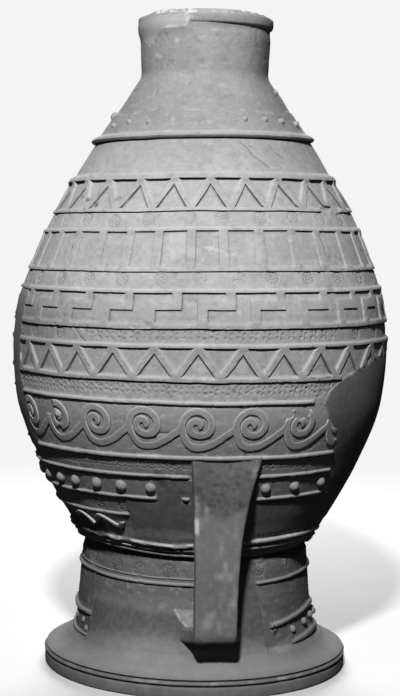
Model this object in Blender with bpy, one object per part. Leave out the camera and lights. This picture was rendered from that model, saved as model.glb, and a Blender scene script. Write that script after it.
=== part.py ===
"""Pithos: a tall fired-clay storage jar with ridges, raised friezes and one low strap handle.

The jar is one hollow body. Its wall is built up from the foot as rows of points, a ridge is
three rows, and the field between two ridges is filled with the frieze that belongs there.
Metres, +Z up. Angles run round the axis from the front (-Y) towards +X.
"""

import math

import bmesh
import bpy
from mathutils import Vector
from mathutils.geometry import delaunay_2d_cdt

# Heights of the parts of the jar, from the floor up
FOOT_EDGE_HEIGHT = 0.044
FOOT_SLOPE_HEIGHT = 0.036
STEM_HEIGHT = 0.220
BODY_HEIGHT = 1.120
NECK_HEIGHT = 0.116
LIP_HEIGHT = 0.031

# Radii outside
FOOT_RADIUS = 0.3675
STEM_FOOT_RADIUS = 0.2940
STEM_RADIUS = 0.2776
BELLY_RADIUS = 0.4505
NECK_RADIUS = 0.1525
NECK_FLARE = 0.0050
LIP_OVERHANG = 0.0055

# The clay itself
WALL = 0.030
NECK_WALL = 0.024
FLOOR = 0.055
FLOOR_CORNER = 0.030

# Turned edges
FOOT_EASE = 0.003
FOOT_GROOVE = 0.004
FOOT_ROLL = 0.0025
LIP_EASE = 0.002
LIP_SHOULDER = 0.008
MOUTH_EASE = 0.006
NECK_JOIN = 0.010

# Relief
RIDGE_HEIGHT = 0.0145
RIDGE_RISE = 0.0065
PANEL_DEPTH = 0.004
SPIRAL_RISE = 0.005
SPIRAL_STRIP = 0.019
BOSS_RADIUS = 0.014
BOSS_RISE = 0.012
SMALL_BOSS_RADIUS = 0.008
SMALL_BOSS_RISE = 0.008
STRIP_WIDTH = 0.021
PANEL_MARGIN = 0.0025

# How many times each frieze repeats round the jar
ZIGZAG_HIGH_COUNT = 25
UPRIGHT_COUNT = 33
MEANDER_COUNT = 26
ZIGZAG_LOW_COUNT = 30
SPIRAL_COUNT = 23
BOSS_COUNT = 35

# The strap handle
HANDLE_TURN = math.radians(7.1)
HANDLE_THICKNESS = 0.034
HANDLE_ROOT_SHARE = 0.2232
HANDLE_ROOT_WIDTH = 0.158
HANDLE_ROOT_SHIFT = 0.014
HANDLE_WIDTH = 0.097
HANDLE_REACH = 0.108
HANDLE_FOOT_WIDTH = 0.150
HANDLE_FOOT_CLEAR = 0.044
HANDLE_EDGE = 0.006
HANDLE_BOW = 0.020
HANDLE_SINK = 0.002

# How far a flat facet may stand inside the true circle, and how near an extra point may come
# to a regular one, as a share of a facet
FACET = 0.0018
NEAR_SHARE = 0.3

# Body outline: share of the body's height, share of the swell from the narrow end to the belly
BELLY_SHARE = 0.420
SWELL_BELOW = ((0.0, 0.0), (0.066, 0.24), (0.177, 0.621), (0.324, 0.953), (BELLY_SHARE, 1.0))
SWELL_ABOVE = ((BELLY_SHARE, 1.0), (0.5025, 0.9765), (0.6335, 0.823), (0.807, 0.486), (1.0, 0.0))

# Where the smooth repair on the right ends, in degrees from the front
FILL_END = 118

# Ridges on the body: lower edge as a share of the body's height, height and rise as
# multiples of a common ridge, and the stretches that are lost, in degrees from the front
BODY_RIDGES = {
    "Q": (0.0054, 0.81, 0.8, ()),
    "P": (0.0192, 0.81, 0.8, ()),
    "O": (0.0339, 0.94, 0.9, ((71, FILL_END),)),
    "M": (0.1357, 1.00, 1.0, ((-13, 20), (52, FILL_END))),
    "L": (0.1839, 1.00, 1.0, ((-3, 13), (51, FILL_END))),
    "K": (0.2232, 1.12, 1.1, ((50, FILL_END),)),
    "J": (0.3321, 1.06, 0.8, ((37, FILL_END),)),
    "I": (0.3768, 1.06, 0.9, ((45, FILL_END),)),
    "H": (0.4429, 1.06, 1.0, ()),
    "G": (0.4804, 1.06, 0.9, ()),
    "F": (0.5500, 1.00, 0.9, ()),
    "E": (0.5920, 0.81, 0.6, ()),
    "D": (0.6705, 0.81, 0.7, ()),
    "C": (0.7107, 0.75, 0.6, ((49, 62),)),
    "B": (0.7750, 1.38, 1.9, ()),
    "A": (0.8598, 1.38, 2.5, ()),
}

# Ridges on the stem, as shares of its own height
STEM_RIDGES = {
    "T": (0.027, 0.94, 0.9, ((-60, 50),)),
    "S": (0.286, 0.94, 0.9, ((-58, 37),)),
    "R": (0.743, 0.94, 0.9, ((15, 29),)),
}

# Bosses that survive on the shoulder, as angles from the front
SHOULDER_BOSSES = (-62, -47, -31, -16, 23, 38, 55, 72, 115, 160, 205, 250)
SHOULDER_BOSS_SHARE = 0.892
SHOULDER_TOP_SHARE = 0.935

# How far a ridge's crest stands above its lower edge, and how long a broken ridge takes to end
CREST_SHARE = 0.4
BROKEN_END = math.radians(1.0)

# The row of large bosses stops this far to each side of the handle
BEHIND_HANDLE = math.radians(17)

# Patterns this near the seam at the back are laid on both sides of it
SEAM_REACH = 0.1

FOOT_TOP = FOOT_EDGE_HEIGHT + FOOT_SLOPE_HEIGHT
STEM_TOP = FOOT_TOP + STEM_HEIGHT
BODY_TOP = STEM_TOP + BODY_HEIGHT
NECK_TOP = BODY_TOP + NECK_HEIGHT
LIP_TOP = NECK_TOP + LIP_HEIGHT
NECK_TOP_RADIUS = NECK_RADIUS + NECK_FLARE
LIP_RADIUS = NECK_TOP_RADIUS + LIP_OVERHANG
FULL_TURN = 2 * math.pi


def clear_scene():
    for old in list(bpy.data.objects):
        bpy.data.objects.remove(old, do_unlink=True)


def slopes_of(knots):
    """Slopes for a cubic through the knots that never overshoots them."""
    rises = [(b[1] - a[1]) / (b[0] - a[0]) for a, b in zip(knots, knots[1:])]
    slopes = [rises[0]]
    for left, right in zip(rises, rises[1:]):
        slopes.append(0.0 if left * right <= 0 else 2 * left * right / (left + right))
    slopes.append(rises[-1])
    return slopes


def through(knots, slopes, x):
    """Height at x of the smooth curve through the knots."""
    x = min(max(x, knots[0][0]), knots[-1][0])
    last = len(knots) - 2
    i = min(sum(1 for knot in knots[1:] if knot[0] < x), last)
    (x0, y0), (x1, y1) = knots[i], knots[i + 1]
    span = x1 - x0
    t = (x - x0) / span
    rest = 1 - t
    ends = y0 * (1 + 2 * t) * rest * rest + y1 * (3 - 2 * t) * t * t
    return ends + span * t * rest * (slopes[i] * rest - slopes[i + 1] * t)


BELOW_SLOPES = slopes_of(SWELL_BELOW)
BELOW_SLOPES[-1] = 0.0
ABOVE_SLOPES = slopes_of(SWELL_ABOVE)
ABOVE_SLOPES[0] = 0.0


def wall_radius(z):
    """Radius of the plain outside wall at height z, without ridges."""
    if z <= STEM_TOP:
        share = max(0.0, (z - FOOT_TOP) / STEM_HEIGHT)
        return STEM_FOOT_RADIUS + (STEM_RADIUS - STEM_FOOT_RADIUS) * share
    share = (z - STEM_TOP) / BODY_HEIGHT
    if share <= BELLY_SHARE:
        return STEM_RADIUS + (BELLY_RADIUS - STEM_RADIUS) * through(SWELL_BELOW, BELOW_SLOPES, share)
    if share <= 1:
        return NECK_RADIUS + (BELLY_RADIUS - NECK_RADIUS) * through(SWELL_ABOVE, ABOVE_SLOPES, share)
    return NECK_RADIUS + NECK_FLARE * min(1.0, (z - BODY_TOP) / NECK_HEIGHT)


def inner_radius(z):
    """Radius of the hollow at height z, one wall in from the outside."""
    step = 0.1 * WALL
    lean = (wall_radius(z + step) - wall_radius(z - step)) / (2 * step)
    return wall_radius(z) - WALL * math.hypot(1, lean)


def sides_for(radius):
    """Sides of a ring, a multiple of four so that a corner stands on each axis."""
    exact = math.pi / math.acos(1 - FACET / radius)
    return 4 * max(5, round(exact / 4))


def ring_angles(radius, extra=()):
    """Angles of a ring's points from the back of the jar right round, with the extra ones."""
    count = sides_for(radius)
    angles = [FULL_TURN * i / count - math.pi for i in range(count)]
    near = NEAR_SHARE * FULL_TURN / count
    added = [math.atan2(math.sin(a), math.cos(a)) for a in extra]
    kept = [a for a in angles if a == -math.pi or all(abs(a - b) > near for b in added)]
    return sorted(kept + added)


class Shell:
    """Points and faces of the jar as they are built up."""

    def __init__(self):
        self.points = []
        self.faces = []

    def point(self, angle, radius, z):
        self.points.append((radius * math.sin(angle), -radius * math.cos(angle), z))
        return len(self.points) - 1

    def row(self, angles, radius, z):
        """A closed row of points. Radius is a number or a function of the angle."""
        at = radius if callable(radius) else lambda angle: radius
        points = [self.point(angle, at(angle), z) for angle in angles]
        return {"angles": list(angles), "points": points, "z": z}

    def join(self, low, high):
        """Faces between two rows that have the same angles."""
        count = len(low["points"])
        for i in range(count):
            j = (i + 1) % count
            a, b = low["points"][i], low["points"][j]
            c, d = high["points"][j], high["points"][i]
            self.faces.append((a, b, c))
            self.faces.append((a, c, d))

    def cap(self, row, upward):
        """A flat disc inside a row."""
        points = row["points"]
        self.faces.append(tuple(points if upward else reversed(points)))

    def field(self, low, high, radius_at, shapes=(), rise=0.0, peaks=()):
        """Fills between two rows. It raises the peaks or, where there are none, each shape as a flat."""
        middle = radius_at((low["z"] + high["z"]) / 2)
        edge = [(a, low["z"]) for a in low["angles"] + [math.pi]]
        edge += [(a, high["z"]) for a in [math.pi] + high["angles"][::-1]]
        tips = wrapped([[peak] for peak in peaks])
        flat, outlines = [], []
        for outline in [edge] + wrapped(shapes) + tips:
            outlines.append(list(range(len(flat), len(flat) + len(outline))))
            flat += [Vector((a * middle, z)) for a, z in outline]
        faces = [outline for outline in outlines if len(outline) > 2]
        cdt = delaunay_2d_cdt(flat, [], faces, 1, 1e-7, True)
        raised = {outline[0] for outline in outlines if len(outline) == 1}
        self.lay(low, high, radius_at, middle, cdt, rise, raised)

    def lay(self, low, high, radius_at, middle, cdt, rise, raised):
        """Puts the flat triangles of one field on the wall, with an upright edge round each shape."""
        flat, _, triangles, came_from, _, inside_of = cdt
        base = {}
        for row in (low, high):
            for angle, index in zip(row["angles"], row["points"]):
                base[angle, row["z"]] = index
        seam = []
        places = []
        for i, spot in enumerate(flat):
            angle, z = spot.x / middle, spot.y
            for row in (low, high):
                if abs(z - row["z"]) < 1e-6:
                    near = min(row["angles"] + [math.pi], key=lambda a: abs(a - angle))
                    angle, z = near, row["z"]
            if abs(abs(angle) - math.pi) < 1e-6:
                angle = -math.pi
                same = [other for other in seam if abs(other - z) < 5e-5]
                z = same[0] if same else z
                seam.append(z)
            places.append((angle, z, bool(raised & set(came_from[i]))))
        made = {}

        def corner(i, up):
            angle, z, is_peak = places[i]
            if not up and (angle, z) in base:
                return base[angle, z]
            key = (angle, z, up)
            if key not in made:
                made[key] = self.point(angle, radius_at(z) + (rise if up or is_peak else 0.0), z)
            return made[key]

        sides = {}
        for triangle, covering in zip(triangles, inside_of):
            if 0 not in covering:
                continue
            up = not raised and len(covering) > 1
            corners = [corner(i, up) for i in triangle]
            self.faces.append(tuple(corners))
            for i, j in zip(triangle, triangle[1:] + triangle[:1]):
                sides[places[i][:2], places[j][:2]] = (up, i, j)
        on_row = (low["z"], high["z"])
        for (start, end), (up, i, j) in sides.items():
            if not up:
                continue
            other = sides.get((end, start))
            on_edge = start[1] == end[1] and start[1] in on_row
            if on_edge or (other and not other[0]):
                a, b = corner(i, False), corner(j, False)
                c, d = corner(j, True), corner(i, True)
                self.faces.append((a, b, c))
                self.faces.append((a, c, d))


def wrapped(shapes):
    """The shapes, with a copy one turn on of each that may cross the back of the jar."""
    every = []
    for shape in shapes:
        every.append(shape)
        if min(a for a, _ in shape) < SEAM_REACH - math.pi:
            every.append([(a + FULL_TURN, z) for a, z in shape])
        if max(a for a, _ in shape) > math.pi - SEAM_REACH:
            every.append([(a - FULL_TURN, z) for a, z in shape])
    return every


def turns(count, first):
    """Angles of a pattern that repeats round the jar, from one known angle in degrees."""
    step = FULL_TURN / count
    start = math.radians(first)
    angles = [start + step * i for i in range(count)]
    return [a - FULL_TURN if a > math.pi else a for a in angles]


def outside_fill(angle, start):
    """Whether the relief survives at this angle, beside the smooth repair on the right."""
    return not math.radians(start) < angle < math.radians(FILL_END)


def zigzag(low, high, count, first, lost_below=400, lost_above=400):
    """Sunk triangles that leave a zigzag strip standing between two ridges."""
    half = math.pi / count
    height = high - low
    bottom, top = low + PANEL_MARGIN, high - PANEL_MARGIN
    foot, tip = 0.77 * half, 0.18 * height
    panels = []
    for apex in turns(count, first):
        if outside_fill(apex, lost_below):
            panels.append([(apex - foot, bottom), (apex + foot, bottom), (apex, top - tip)])
        gap = apex + half
        if outside_fill(gap, lost_above):
            panels.append([(gap + foot, top), (gap - foot, top), (gap, bottom + tip)])
    return panels


def uprights(low, high, count, first):
    """Sunk panels that leave upright strips standing."""
    middle = wall_radius((low + high) / 2)
    half = math.pi / count - STRIP_WIDTH / middle / 2
    bottom, top = low + PANEL_MARGIN, high - PANEL_MARGIN
    panels = []
    for strip in turns(count, first):
        a = strip + math.pi / count
        panels.append([(a - half, bottom), (a + half, bottom), (a + half, top), (a - half, top)])
    return panels


def meander(low, high, count, first):
    """Sunk cells that leave a stepped key strip standing."""
    half = STRIP_WIDTH / wall_radius((low + high) / 2) / 2
    step = FULL_TURN / count
    shift = 0.52 * step
    bottom, top = low + PANEL_MARGIN, high - PANEL_MARGIN
    bar = (low + high) / 2
    above, below = bar + STRIP_WIDTH / 2, bar - STRIP_WIDTH / 2
    cells = []
    for strip in turns(count, first):
        right = strip + step
        cells.append(
            [
                (strip + half, top),
                (strip + half, below),
                (strip - shift + half, below),
                (strip - shift + half, bottom),
                (right - shift - half, bottom),
                (right - shift - half, above),
                (right - half, above),
                (right - half, top),
            ]
        )
    return cells


def ribbon(path):
    """Outline of a strip that follows a path of x, z and width on the unrolled wall."""
    left, right = [], []
    for i, (x, z, width) in enumerate(path):
        back, ahead = path[max(i - 1, 0)], path[min(i + 1, len(path) - 1)]
        along = Vector((ahead[0] - back[0], ahead[1] - back[1])).normalized() * width / 2
        left.append((x - along.y, z + along.x))
        right.append((x + along.y, z - along.x))
    return right + left[::-1]


def spirals(low, high, count, first, lost):
    """Raised running spirals: a strip that passes under one eye and winds into the next."""
    middle = wall_radius((low + high) / 2)
    pitch = FULL_TURN * middle / count
    eye = 0.30 * (high - low)
    centre = low + 0.56 * (high - low)
    wide = SPIRAL_STRIP
    bottom = low + PANEL_MARGIN + wide / 2
    path = [
        (-1.15 * eye, centre - 0.35 * eye, 0.6 * wide),
        (-0.75 * eye, (centre + bottom) / 2 - 0.3 * eye, wide),
        (0.1 * eye, bottom, wide),
        (0.42 * pitch, (centre + bottom) / 2, wide),
        (pitch - 0.92 * eye, centre + 0.5 * eye, wide),
    ]
    coil = ((90, 1.0, 0.95), (35, 1.0, 0.9), (-20, 0.97, 0.8), (-80, 0.78, 0.65))
    coil += ((-145, 0.56, 0.6), (-215, 0.42, 0.6), (-300, 0.26, 0.6))
    for turn, out, share in coil:
        around = math.radians(turn)
        x = pitch + out * eye * math.cos(around)
        path.append((x, centre + out * eye * math.sin(around), share * wide))
    strip = ribbon(path)
    kept = [a for a in turns(count, first) if outside_fill(a, lost - 360 / count)]
    return [[(angle + x / middle, z) for x, z in strip] for angle in kept]


def bosses(z, angles, radius):
    """Six-sided outlines for a row of round bosses."""
    size = radius / wall_radius(z)
    sides = [math.pi * i / 3 for i in range(6)]
    return [[(angle + size * math.cos(a), z + radius * math.sin(a)) for a in sides] for angle in angles]


def ridge(shell, low, height_factor, rise_factor, gaps):
    """The three rows of a ridge: its lower edge, its crest and its upper edge."""
    tall, rise = height_factor * RIDGE_HEIGHT, rise_factor * RIDGE_RISE
    spans = [(math.radians(a), math.radians(b)) for a, b in gaps]
    extra = [end + side * BROKEN_END / 2 for span in spans for end in span for side in (-1, 1)]
    angles = ring_angles(wall_radius(low), extra)
    middle = low + CREST_SHARE * tall

    def crest(angle):
        lost = any(a < angle < b for a, b in spans)
        return wall_radius(middle) + (0.0 if lost else rise)

    rows = [
        shell.row(angles, wall_radius(low), low),
        shell.row(angles, crest, middle),
        shell.row(angles, wall_radius(low + tall), low + tall),
    ]
    shell.join(rows[0], rows[1])
    shell.join(rows[1], rows[2])
    return rows[0], rows[2]


def foot(shell):
    """The disc foot: flat underside, a groove, a round edge and the slope up to the stem."""
    angles = ring_angles(FOOT_RADIUS)
    edge = FOOT_EDGE_HEIGHT
    profile = (
        (FOOT_RADIUS - FOOT_EASE, 0.0),
        (FOOT_RADIUS, 0.08 * edge),
        (FOOT_RADIUS, 0.50 * edge),
        (FOOT_RADIUS - FOOT_GROOVE, 0.58 * edge),
        (FOOT_RADIUS + FOOT_ROLL, 0.76 * edge),
        (FOOT_RADIUS - FOOT_EASE, edge),
    )
    rows = [shell.row(angles, radius, z) for radius, z in profile]
    shell.cap(rows[0], upward=False)
    for low, high in zip(rows, rows[1:]):
        shell.join(low, high)
    return rows[-1]


def stem(shell, below):
    """The stem with its three ridges."""
    angles = ring_angles(STEM_FOOT_RADIUS)
    row = shell.row(angles, STEM_FOOT_RADIUS, FOOT_TOP)
    shell.field(below, row, slope_radius)
    for share, tall, rise, gaps in STEM_RIDGES.values():
        low = FOOT_TOP + share * STEM_HEIGHT
        base, top = ridge(shell, low, tall, rise, gaps)
        shell.field(row, base, wall_radius)
        row = top
    return row


def slope_radius(z):
    """Radius on the sloping top of the foot."""
    share = (z - FOOT_EDGE_HEIGHT) / FOOT_SLOPE_HEIGHT
    outer = FOOT_RADIUS - FOOT_EASE
    return outer + (STEM_FOOT_RADIUS - outer) * share


def frieze(name, low, high):
    """What fills the field above the named ridge: shapes, a rise, and the points that take it."""
    if name == "C":
        return zigzag(low, high, ZIGZAG_HIGH_COUNT, 3.2), -PANEL_DEPTH, ()
    if name == "E":
        return uprights(low, high, UPRIGHT_COUNT, -2.0), -PANEL_DEPTH, ()
    if name == "G":
        return meander(low, high, MEANDER_COUNT, -5.1), -PANEL_DEPTH, ()
    if name == "I":
        return zigzag(low, high, ZIGZAG_LOW_COUNT, 0.0, 43, 62), -PANEL_DEPTH, ()
    if name == "K":
        return spirals(low, high, SPIRAL_COUNT, -0.3, 38), SPIRAL_RISE, ()
    if name == "M":
        middle = (low + high) / 2
        kept = [a for a in turns(BOSS_COUNT, -15.6) if outside_fill(a, 50)]
        kept = [a for a in kept if abs(a - HANDLE_TURN) > BEHIND_HANDLE]
        return bosses(middle, kept, BOSS_RADIUS), BOSS_RISE, [(a, middle) for a in kept]
    return (), 0.0, ()


def body(shell, row):
    """The swelling body, ridge by ridge, up to the foot of the neck."""
    name = ""
    for above, (share, tall, rise, gaps) in BODY_RIDGES.items():
        low = STEM_TOP + share * BODY_HEIGHT
        base, top = ridge(shell, low, tall, rise, gaps)
        shapes, lift, peaks = frieze(name, row["z"], low)
        shell.field(row, base, wall_radius, shapes, lift, peaks)
        row = top
        name = above
    z = STEM_TOP + SHOULDER_TOP_SHARE * BODY_HEIGHT
    row_above = shell.row(ring_angles(wall_radius(z)), wall_radius(z), z)
    kept = [math.remainder(math.radians(a), FULL_TURN) for a in SHOULDER_BOSSES]
    height = STEM_TOP + SHOULDER_BOSS_SHARE * BODY_HEIGHT
    outlines = bosses(height, kept, SMALL_BOSS_RADIUS)
    shell.field(row, row_above, wall_radius, outlines, SMALL_BOSS_RISE, [(a, height) for a in kept])
    neck_foot = shell.row(ring_angles(NECK_RADIUS), NECK_RADIUS, BODY_TOP)
    shell.field(row_above, neck_foot, wall_radius)
    return neck_foot


def neck_and_lip(shell, row):
    """The neck, the rolled lip and the mouth, down to the inside of the neck."""
    inside = NECK_RADIUS - NECK_WALL
    profile = (
        (NECK_TOP_RADIUS, NECK_TOP),
        (LIP_RADIUS - LIP_EASE, NECK_TOP + 0.06 * LIP_HEIGHT),
        (LIP_RADIUS, NECK_TOP + 0.40 * LIP_HEIGHT),
        (LIP_RADIUS - LIP_EASE, NECK_TOP + 0.80 * LIP_HEIGHT),
        (LIP_RADIUS - LIP_SHOULDER, LIP_TOP),
        (inside + MOUTH_EASE, LIP_TOP),
        (inside, LIP_TOP - MOUTH_EASE),
        (inside, BODY_TOP - NECK_JOIN),
    )
    for radius, z in profile:
        above = shell.row(row["angles"], radius, z)
        shell.join(row, above)
        row = above
    return row


def hollow(shell, row):
    """The inside wall from the neck down to the floor."""
    angles = row["angles"]
    levels = [STEM_TOP + share * BODY_HEIGHT for share in (0.86, 0.70, 0.56, BELLY_SHARE)]
    levels += [STEM_TOP + share * BODY_HEIGHT for share in (0.30, 0.18, 0.08)]
    levels += [STEM_TOP - WALL / 2]
    for z in levels:
        below = shell.row(angles, inner_radius(z), z)
        shell.join(row, below)
        row = below
    edge = STEM_FOOT_RADIUS - WALL
    for radius, z in ((edge, FLOOR + FLOOR_CORNER), (edge - FLOOR_CORNER, FLOOR)):
        below = shell.row(angles, radius, z)
        shell.join(row, below)
        row = below
    shell.cap(row, upward=True)


def clay():
    """Plain fired clay."""
    material = bpy.data.materials.new("fired clay")
    material.use_nodes = True
    shader = material.node_tree.nodes["Principled BSDF"]
    shader.inputs["Base Color"].default_value = (0.26, 0.26, 0.26, 1)
    shader.inputs["Roughness"].default_value = 0.8
    shader.inputs["Metallic"].default_value = 0.0
    return material


def finished(name, points, faces, material):
    """A shaded object from points and faces, with its normals turned outward."""
    mesh = bpy.data.meshes.new(name)
    mesh.from_pydata(points, [], faces)
    mesh.materials.append(material)
    shape = bmesh.new()
    shape.from_mesh(mesh)
    bmesh.ops.recalc_face_normals(shape, faces=shape.faces)
    shape.to_mesh(mesh)
    shape.free()
    mesh.shade_smooth()
    mesh.set_sharp_from_angle(angle=math.radians(30))
    result = bpy.data.objects.new(name, mesh)
    bpy.context.scene.collection.objects.link(result)
    return result


def handle_stations():
    """Middle of the strap in the plane of the handle: radius, height, lean, width and sideways shift."""
    root = STEM_TOP + HANDLE_ROOT_SHARE * BODY_HEIGHT
    foot_low = FOOT_TOP + HANDLE_FOOT_CLEAR
    half = HANDLE_THICKNESS / 2
    front = STEM_RADIUS + HANDLE_REACH
    top = wall_radius(root)
    drop = root - foot_low
    strap = (
        (top + 0.5 * HANDLE_SINK, -0.01, 0),
        (top + HANDLE_SINK, 0.08, 0),
        (front + HANDLE_BOW, 0.17, 6),
        (front + 0.55 * HANDLE_BOW, 0.30, 4),
        (front + 0.25 * HANDLE_BOW, 0.50, 2),
        (front + 0.05 * HANDLE_BOW, 0.72, 2),
        (front, 1 - 2.1 * half / drop, 0),
    )
    stations = []
    for radius, down, lean in strap:
        spread = (1 - down) ** 3
        width = HANDLE_WIDTH + (HANDLE_ROOT_WIDTH - HANDLE_WIDTH) * spread
        stations.append((radius - half, root - down * drop, lean, width, HANDLE_ROOT_SHIFT * spread))
    foot_width = HANDLE_FOOT_WIDTH - HANDLE_WIDTH
    stations += [
        (front - 1.25 * half, foot_low + 1.15 * half, 45, HANDLE_WIDTH, 0),
        (front - 2.6 * half, foot_low + 0.95 * half, 85, HANDLE_WIDTH + 0.1 * foot_width, 0),
        (STEM_RADIUS + 0.3 * HANDLE_REACH, foot_low + 0.6 * half, 80, HANDLE_WIDTH + 0.4 * foot_width, 0),
        (STEM_RADIUS - 0.3 * WALL, foot_low + 0.1 * half, 80, HANDLE_FOOT_WIDTH, 0),
    ]
    return stations


def handle(material):
    """The strap handle, lofted through its stations, with its narrow edges eased."""
    half = HANDLE_THICKNESS / 2
    points, faces = [], []
    stations = handle_stations()
    for radius, z, lean, width, shift in stations:
        tilt = math.radians(lean)
        out, up = math.cos(tilt), -math.sin(tilt)
        side = width / 2
        across = (
            (side - HANDLE_EDGE, half),
            (side, half - HANDLE_EDGE),
            (side, HANDLE_EDGE - half),
            (side - HANDLE_EDGE, -half),
        )
        for x, y in across + tuple((-x, y) for x, y in reversed(across)):
            reach, aside = radius + y * out, x + shift
            points.append(
                (
                    reach * math.sin(HANDLE_TURN) + aside * math.cos(HANDLE_TURN),
                    -reach * math.cos(HANDLE_TURN) + aside * math.sin(HANDLE_TURN),
                    z + y * up,
                )
            )
    size = 8
    for ring in range(len(stations) - 1):
        for i in range(size):
            a, b = ring * size + i, ring * size + (i + 1) % size
            faces.append((a, b, b + size, a + size))
    faces.append(tuple(range(size)))
    faces.append(tuple(reversed(range(len(points) - size, len(points)))))
    return finished("handle", points, faces, material)


def pithos():
    """The whole jar, one piece of fired clay."""
    material = clay()
    shell = Shell()
    row = foot(shell)
    row = stem(shell, row)
    row = body(shell, row)
    row = neck_and_lip(shell, row)
    hollow(shell, row)
    jar = finished("pithos", shell.points, shell.faces, material)
    strap = handle(material)
    strap.hide_render = True
    strap.display_type = "WIRE"
    joined = jar.modifiers.new("handle joined", "BOOLEAN")
    joined.operation = "UNION"
    joined.solver = "EXACT"
    joined.object = strap
    return jar


clear_scene()
pithos()
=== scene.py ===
# %% [markdown]
# # A relief pithos, finished as a lesson in cells
# A pithos is a storage jar as tall as a person. Potters built it up by hand in coils, turned the
# neck, pressed ridges and strips of clay on to the wall and stamped rows of rosettes between them.
# This one was mended with smooth plaster. The solid gives the sizes. The cells below lay a finer
# skin over it, piece by piece, with the same levels and the same losses.

# %% Load the solid
import math

import bmesh
import bpy
import numpy as np
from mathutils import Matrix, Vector
from mathutils.geometry import delaunay_2d_cdt


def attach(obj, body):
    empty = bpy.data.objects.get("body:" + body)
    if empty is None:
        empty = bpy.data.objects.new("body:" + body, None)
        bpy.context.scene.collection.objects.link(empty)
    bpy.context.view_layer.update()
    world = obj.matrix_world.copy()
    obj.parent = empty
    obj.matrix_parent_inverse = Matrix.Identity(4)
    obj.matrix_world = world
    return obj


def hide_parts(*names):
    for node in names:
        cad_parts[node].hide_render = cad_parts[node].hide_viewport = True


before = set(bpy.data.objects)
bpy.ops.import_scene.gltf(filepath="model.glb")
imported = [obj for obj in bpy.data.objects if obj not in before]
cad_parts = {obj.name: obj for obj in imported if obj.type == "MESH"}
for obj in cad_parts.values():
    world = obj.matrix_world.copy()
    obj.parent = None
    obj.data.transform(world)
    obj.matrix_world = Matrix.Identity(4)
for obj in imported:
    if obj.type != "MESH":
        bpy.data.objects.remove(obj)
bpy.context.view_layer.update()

# %% [markdown]
# ## The levels of the jar
# All sizes are in metres, with the floor at zero. Angles run round the axis from the front
# towards the right. These are the solid's own levels, so that the skin sits where it does.

# %% Levels and radii
FOOT_EDGE = 0.044
FOOT_TOP = 0.080
STEM_TOP = 0.300
BODY_TOP = 1.420
NECK_TOP = 1.536
LIP_TOP = 1.567
FOOT_R = 0.3675
SLOPE_R = 0.3645
STEM_FOOT_R = 0.2940
STEM_R = 0.2776
BELLY_R = 0.4505
NECK_R = 0.1525
NECK_FLARE = 0.0050
LIP_R = 0.1630
WALL = 0.030
FLOOR = 0.055
REACH = 0.4556
HOLLOW_LOW_Z = [FLOOR, FLOOR + 0.030, STEM_TOP - 0.015]
HOLLOW_LOW_R = [0.234, 0.264, 0.2486]
HOLLOW_NECK_Z = [1.36, BODY_TOP - 0.010]
MOUTH_R = 0.1285
TURN = 2 * math.pi
BELLY_SHARE = 0.420
BELOW = ((0.0, 0.0), (0.066, 0.24), (0.177, 0.621), (0.324, 0.953), (BELLY_SHARE, 1.0))
ABOVE = ((BELLY_SHARE, 1.0), (0.5025, 0.9765), (0.6335, 0.823), (0.807, 0.486), (1.0, 0.0))

print("height", LIP_TOP, "foot", 2 * FOOT_R, "belly", 2 * BELLY_R)

# %% Ridges: lower edge, height, rise, kind and the stretches that are lost, in degrees
LOST = 118
RIDGES = {
    "T": (0.0875, 0.0125, 0.0070, "rod", ((-60, 52),)),
    "S": (0.1445, 0.0125, 0.0070, "rod", ((-58.5, 37.5),)),
    "R": (0.2450, 0.0085, 0.0058, "rod", ((0.3, 29.5),)),
    "thin line": (0.2595, 0.0040, 0.0016, "rod", ((0.3, 180),)),
    "Q": (0.3065, 0.0080, 0.0095, "band", ((10, 70),)),
    "P": (0.3220, 0.0070, 0.0078, "rod", ((-10, 130),)),
    "low ledge": (0.3230, 0.0110, 0.0080, "rod", ((-180, -9), (72, 180))),
    "O": (0.3380, 0.0140, 0.0095, "rod", ((71, LOST),)),
    "N": (0.4075, 0.0090, 0.0060, "rod", ((-26.5, LOST),)),
    "M": (0.4530, 0.0098, 0.0075, "rod", ((-13.1, -5.2), (-2.8, 20.5), (52, LOST))),
    "L": (0.5070, 0.0098, 0.0075, "rod", ((-3, 13), (51, LOST))),
    "K": (0.5515, 0.0104, 0.0075, "band", ((50, LOST),)),
    "J": (0.6735, 0.0098, 0.0062, "band", ((35.2, LOST),)),
    "I": (0.7230, 0.0145, 0.0058, "step", ((45, LOST),)),
    "H": (0.7965, 0.0112, 0.0066, "band", ()),
    "G": (0.8385, 0.0145, 0.0056, "step", ()),
    "F": (0.9165, 0.0108, 0.0056, "band", ()),
    "E": (0.9632, 0.0120, 0.0046, "step", ()),
    "D": (1.0512, 0.0102, 0.0050, "band", ()),
    "C": (1.0960, 0.0115, 0.0050, "step", ((49, 62),)),
    "B": (1.1685, 0.0180, 0.0098, "band", ()),
    "A": (1.2635, 0.0190, 0.0125, "rod", ()),
}
TORN = {"O": 0.62, "P": 0.10, "low ledge": 0.3, "M": 0.15, "L": 0.2, "N": 0.2, "J": 0.1}
STRIP_RISE = {"I": 0.0038, "G": 0.0034, "E": 0.0028, "C": 0.0036}
FRIEZES = {"I": "H", "G": "F", "E": "D", "C": "B"}
# How dark the steep sides of the panels are painted as shade, how much of that painted shade the lit right
# sides are spared, how pale the upper edges are painted as highlights, and how pale the tops of the low
# ridges are painted as highlights.
STEEP_CUT_AND_SHADE = {"I": 0.6, "G": 0.45, "E": 0.22, "C": 0.6}
LIT_SIDES_SPARED = {"I": 0.0, "G": 0.9, "E": 0.4, "C": 0.0}
EDGE_SHINE = {"I": 0.30, "G": 0.10, "E": 0.22, "C": 0.25}
RIDGE_SHINE = {"O": 0.82, "P": 0.85, "Q": 0.6, "low ledge": 0.6}
print(len(RIDGES), "ridges,", len(FRIEZES), "friezes")

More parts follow.
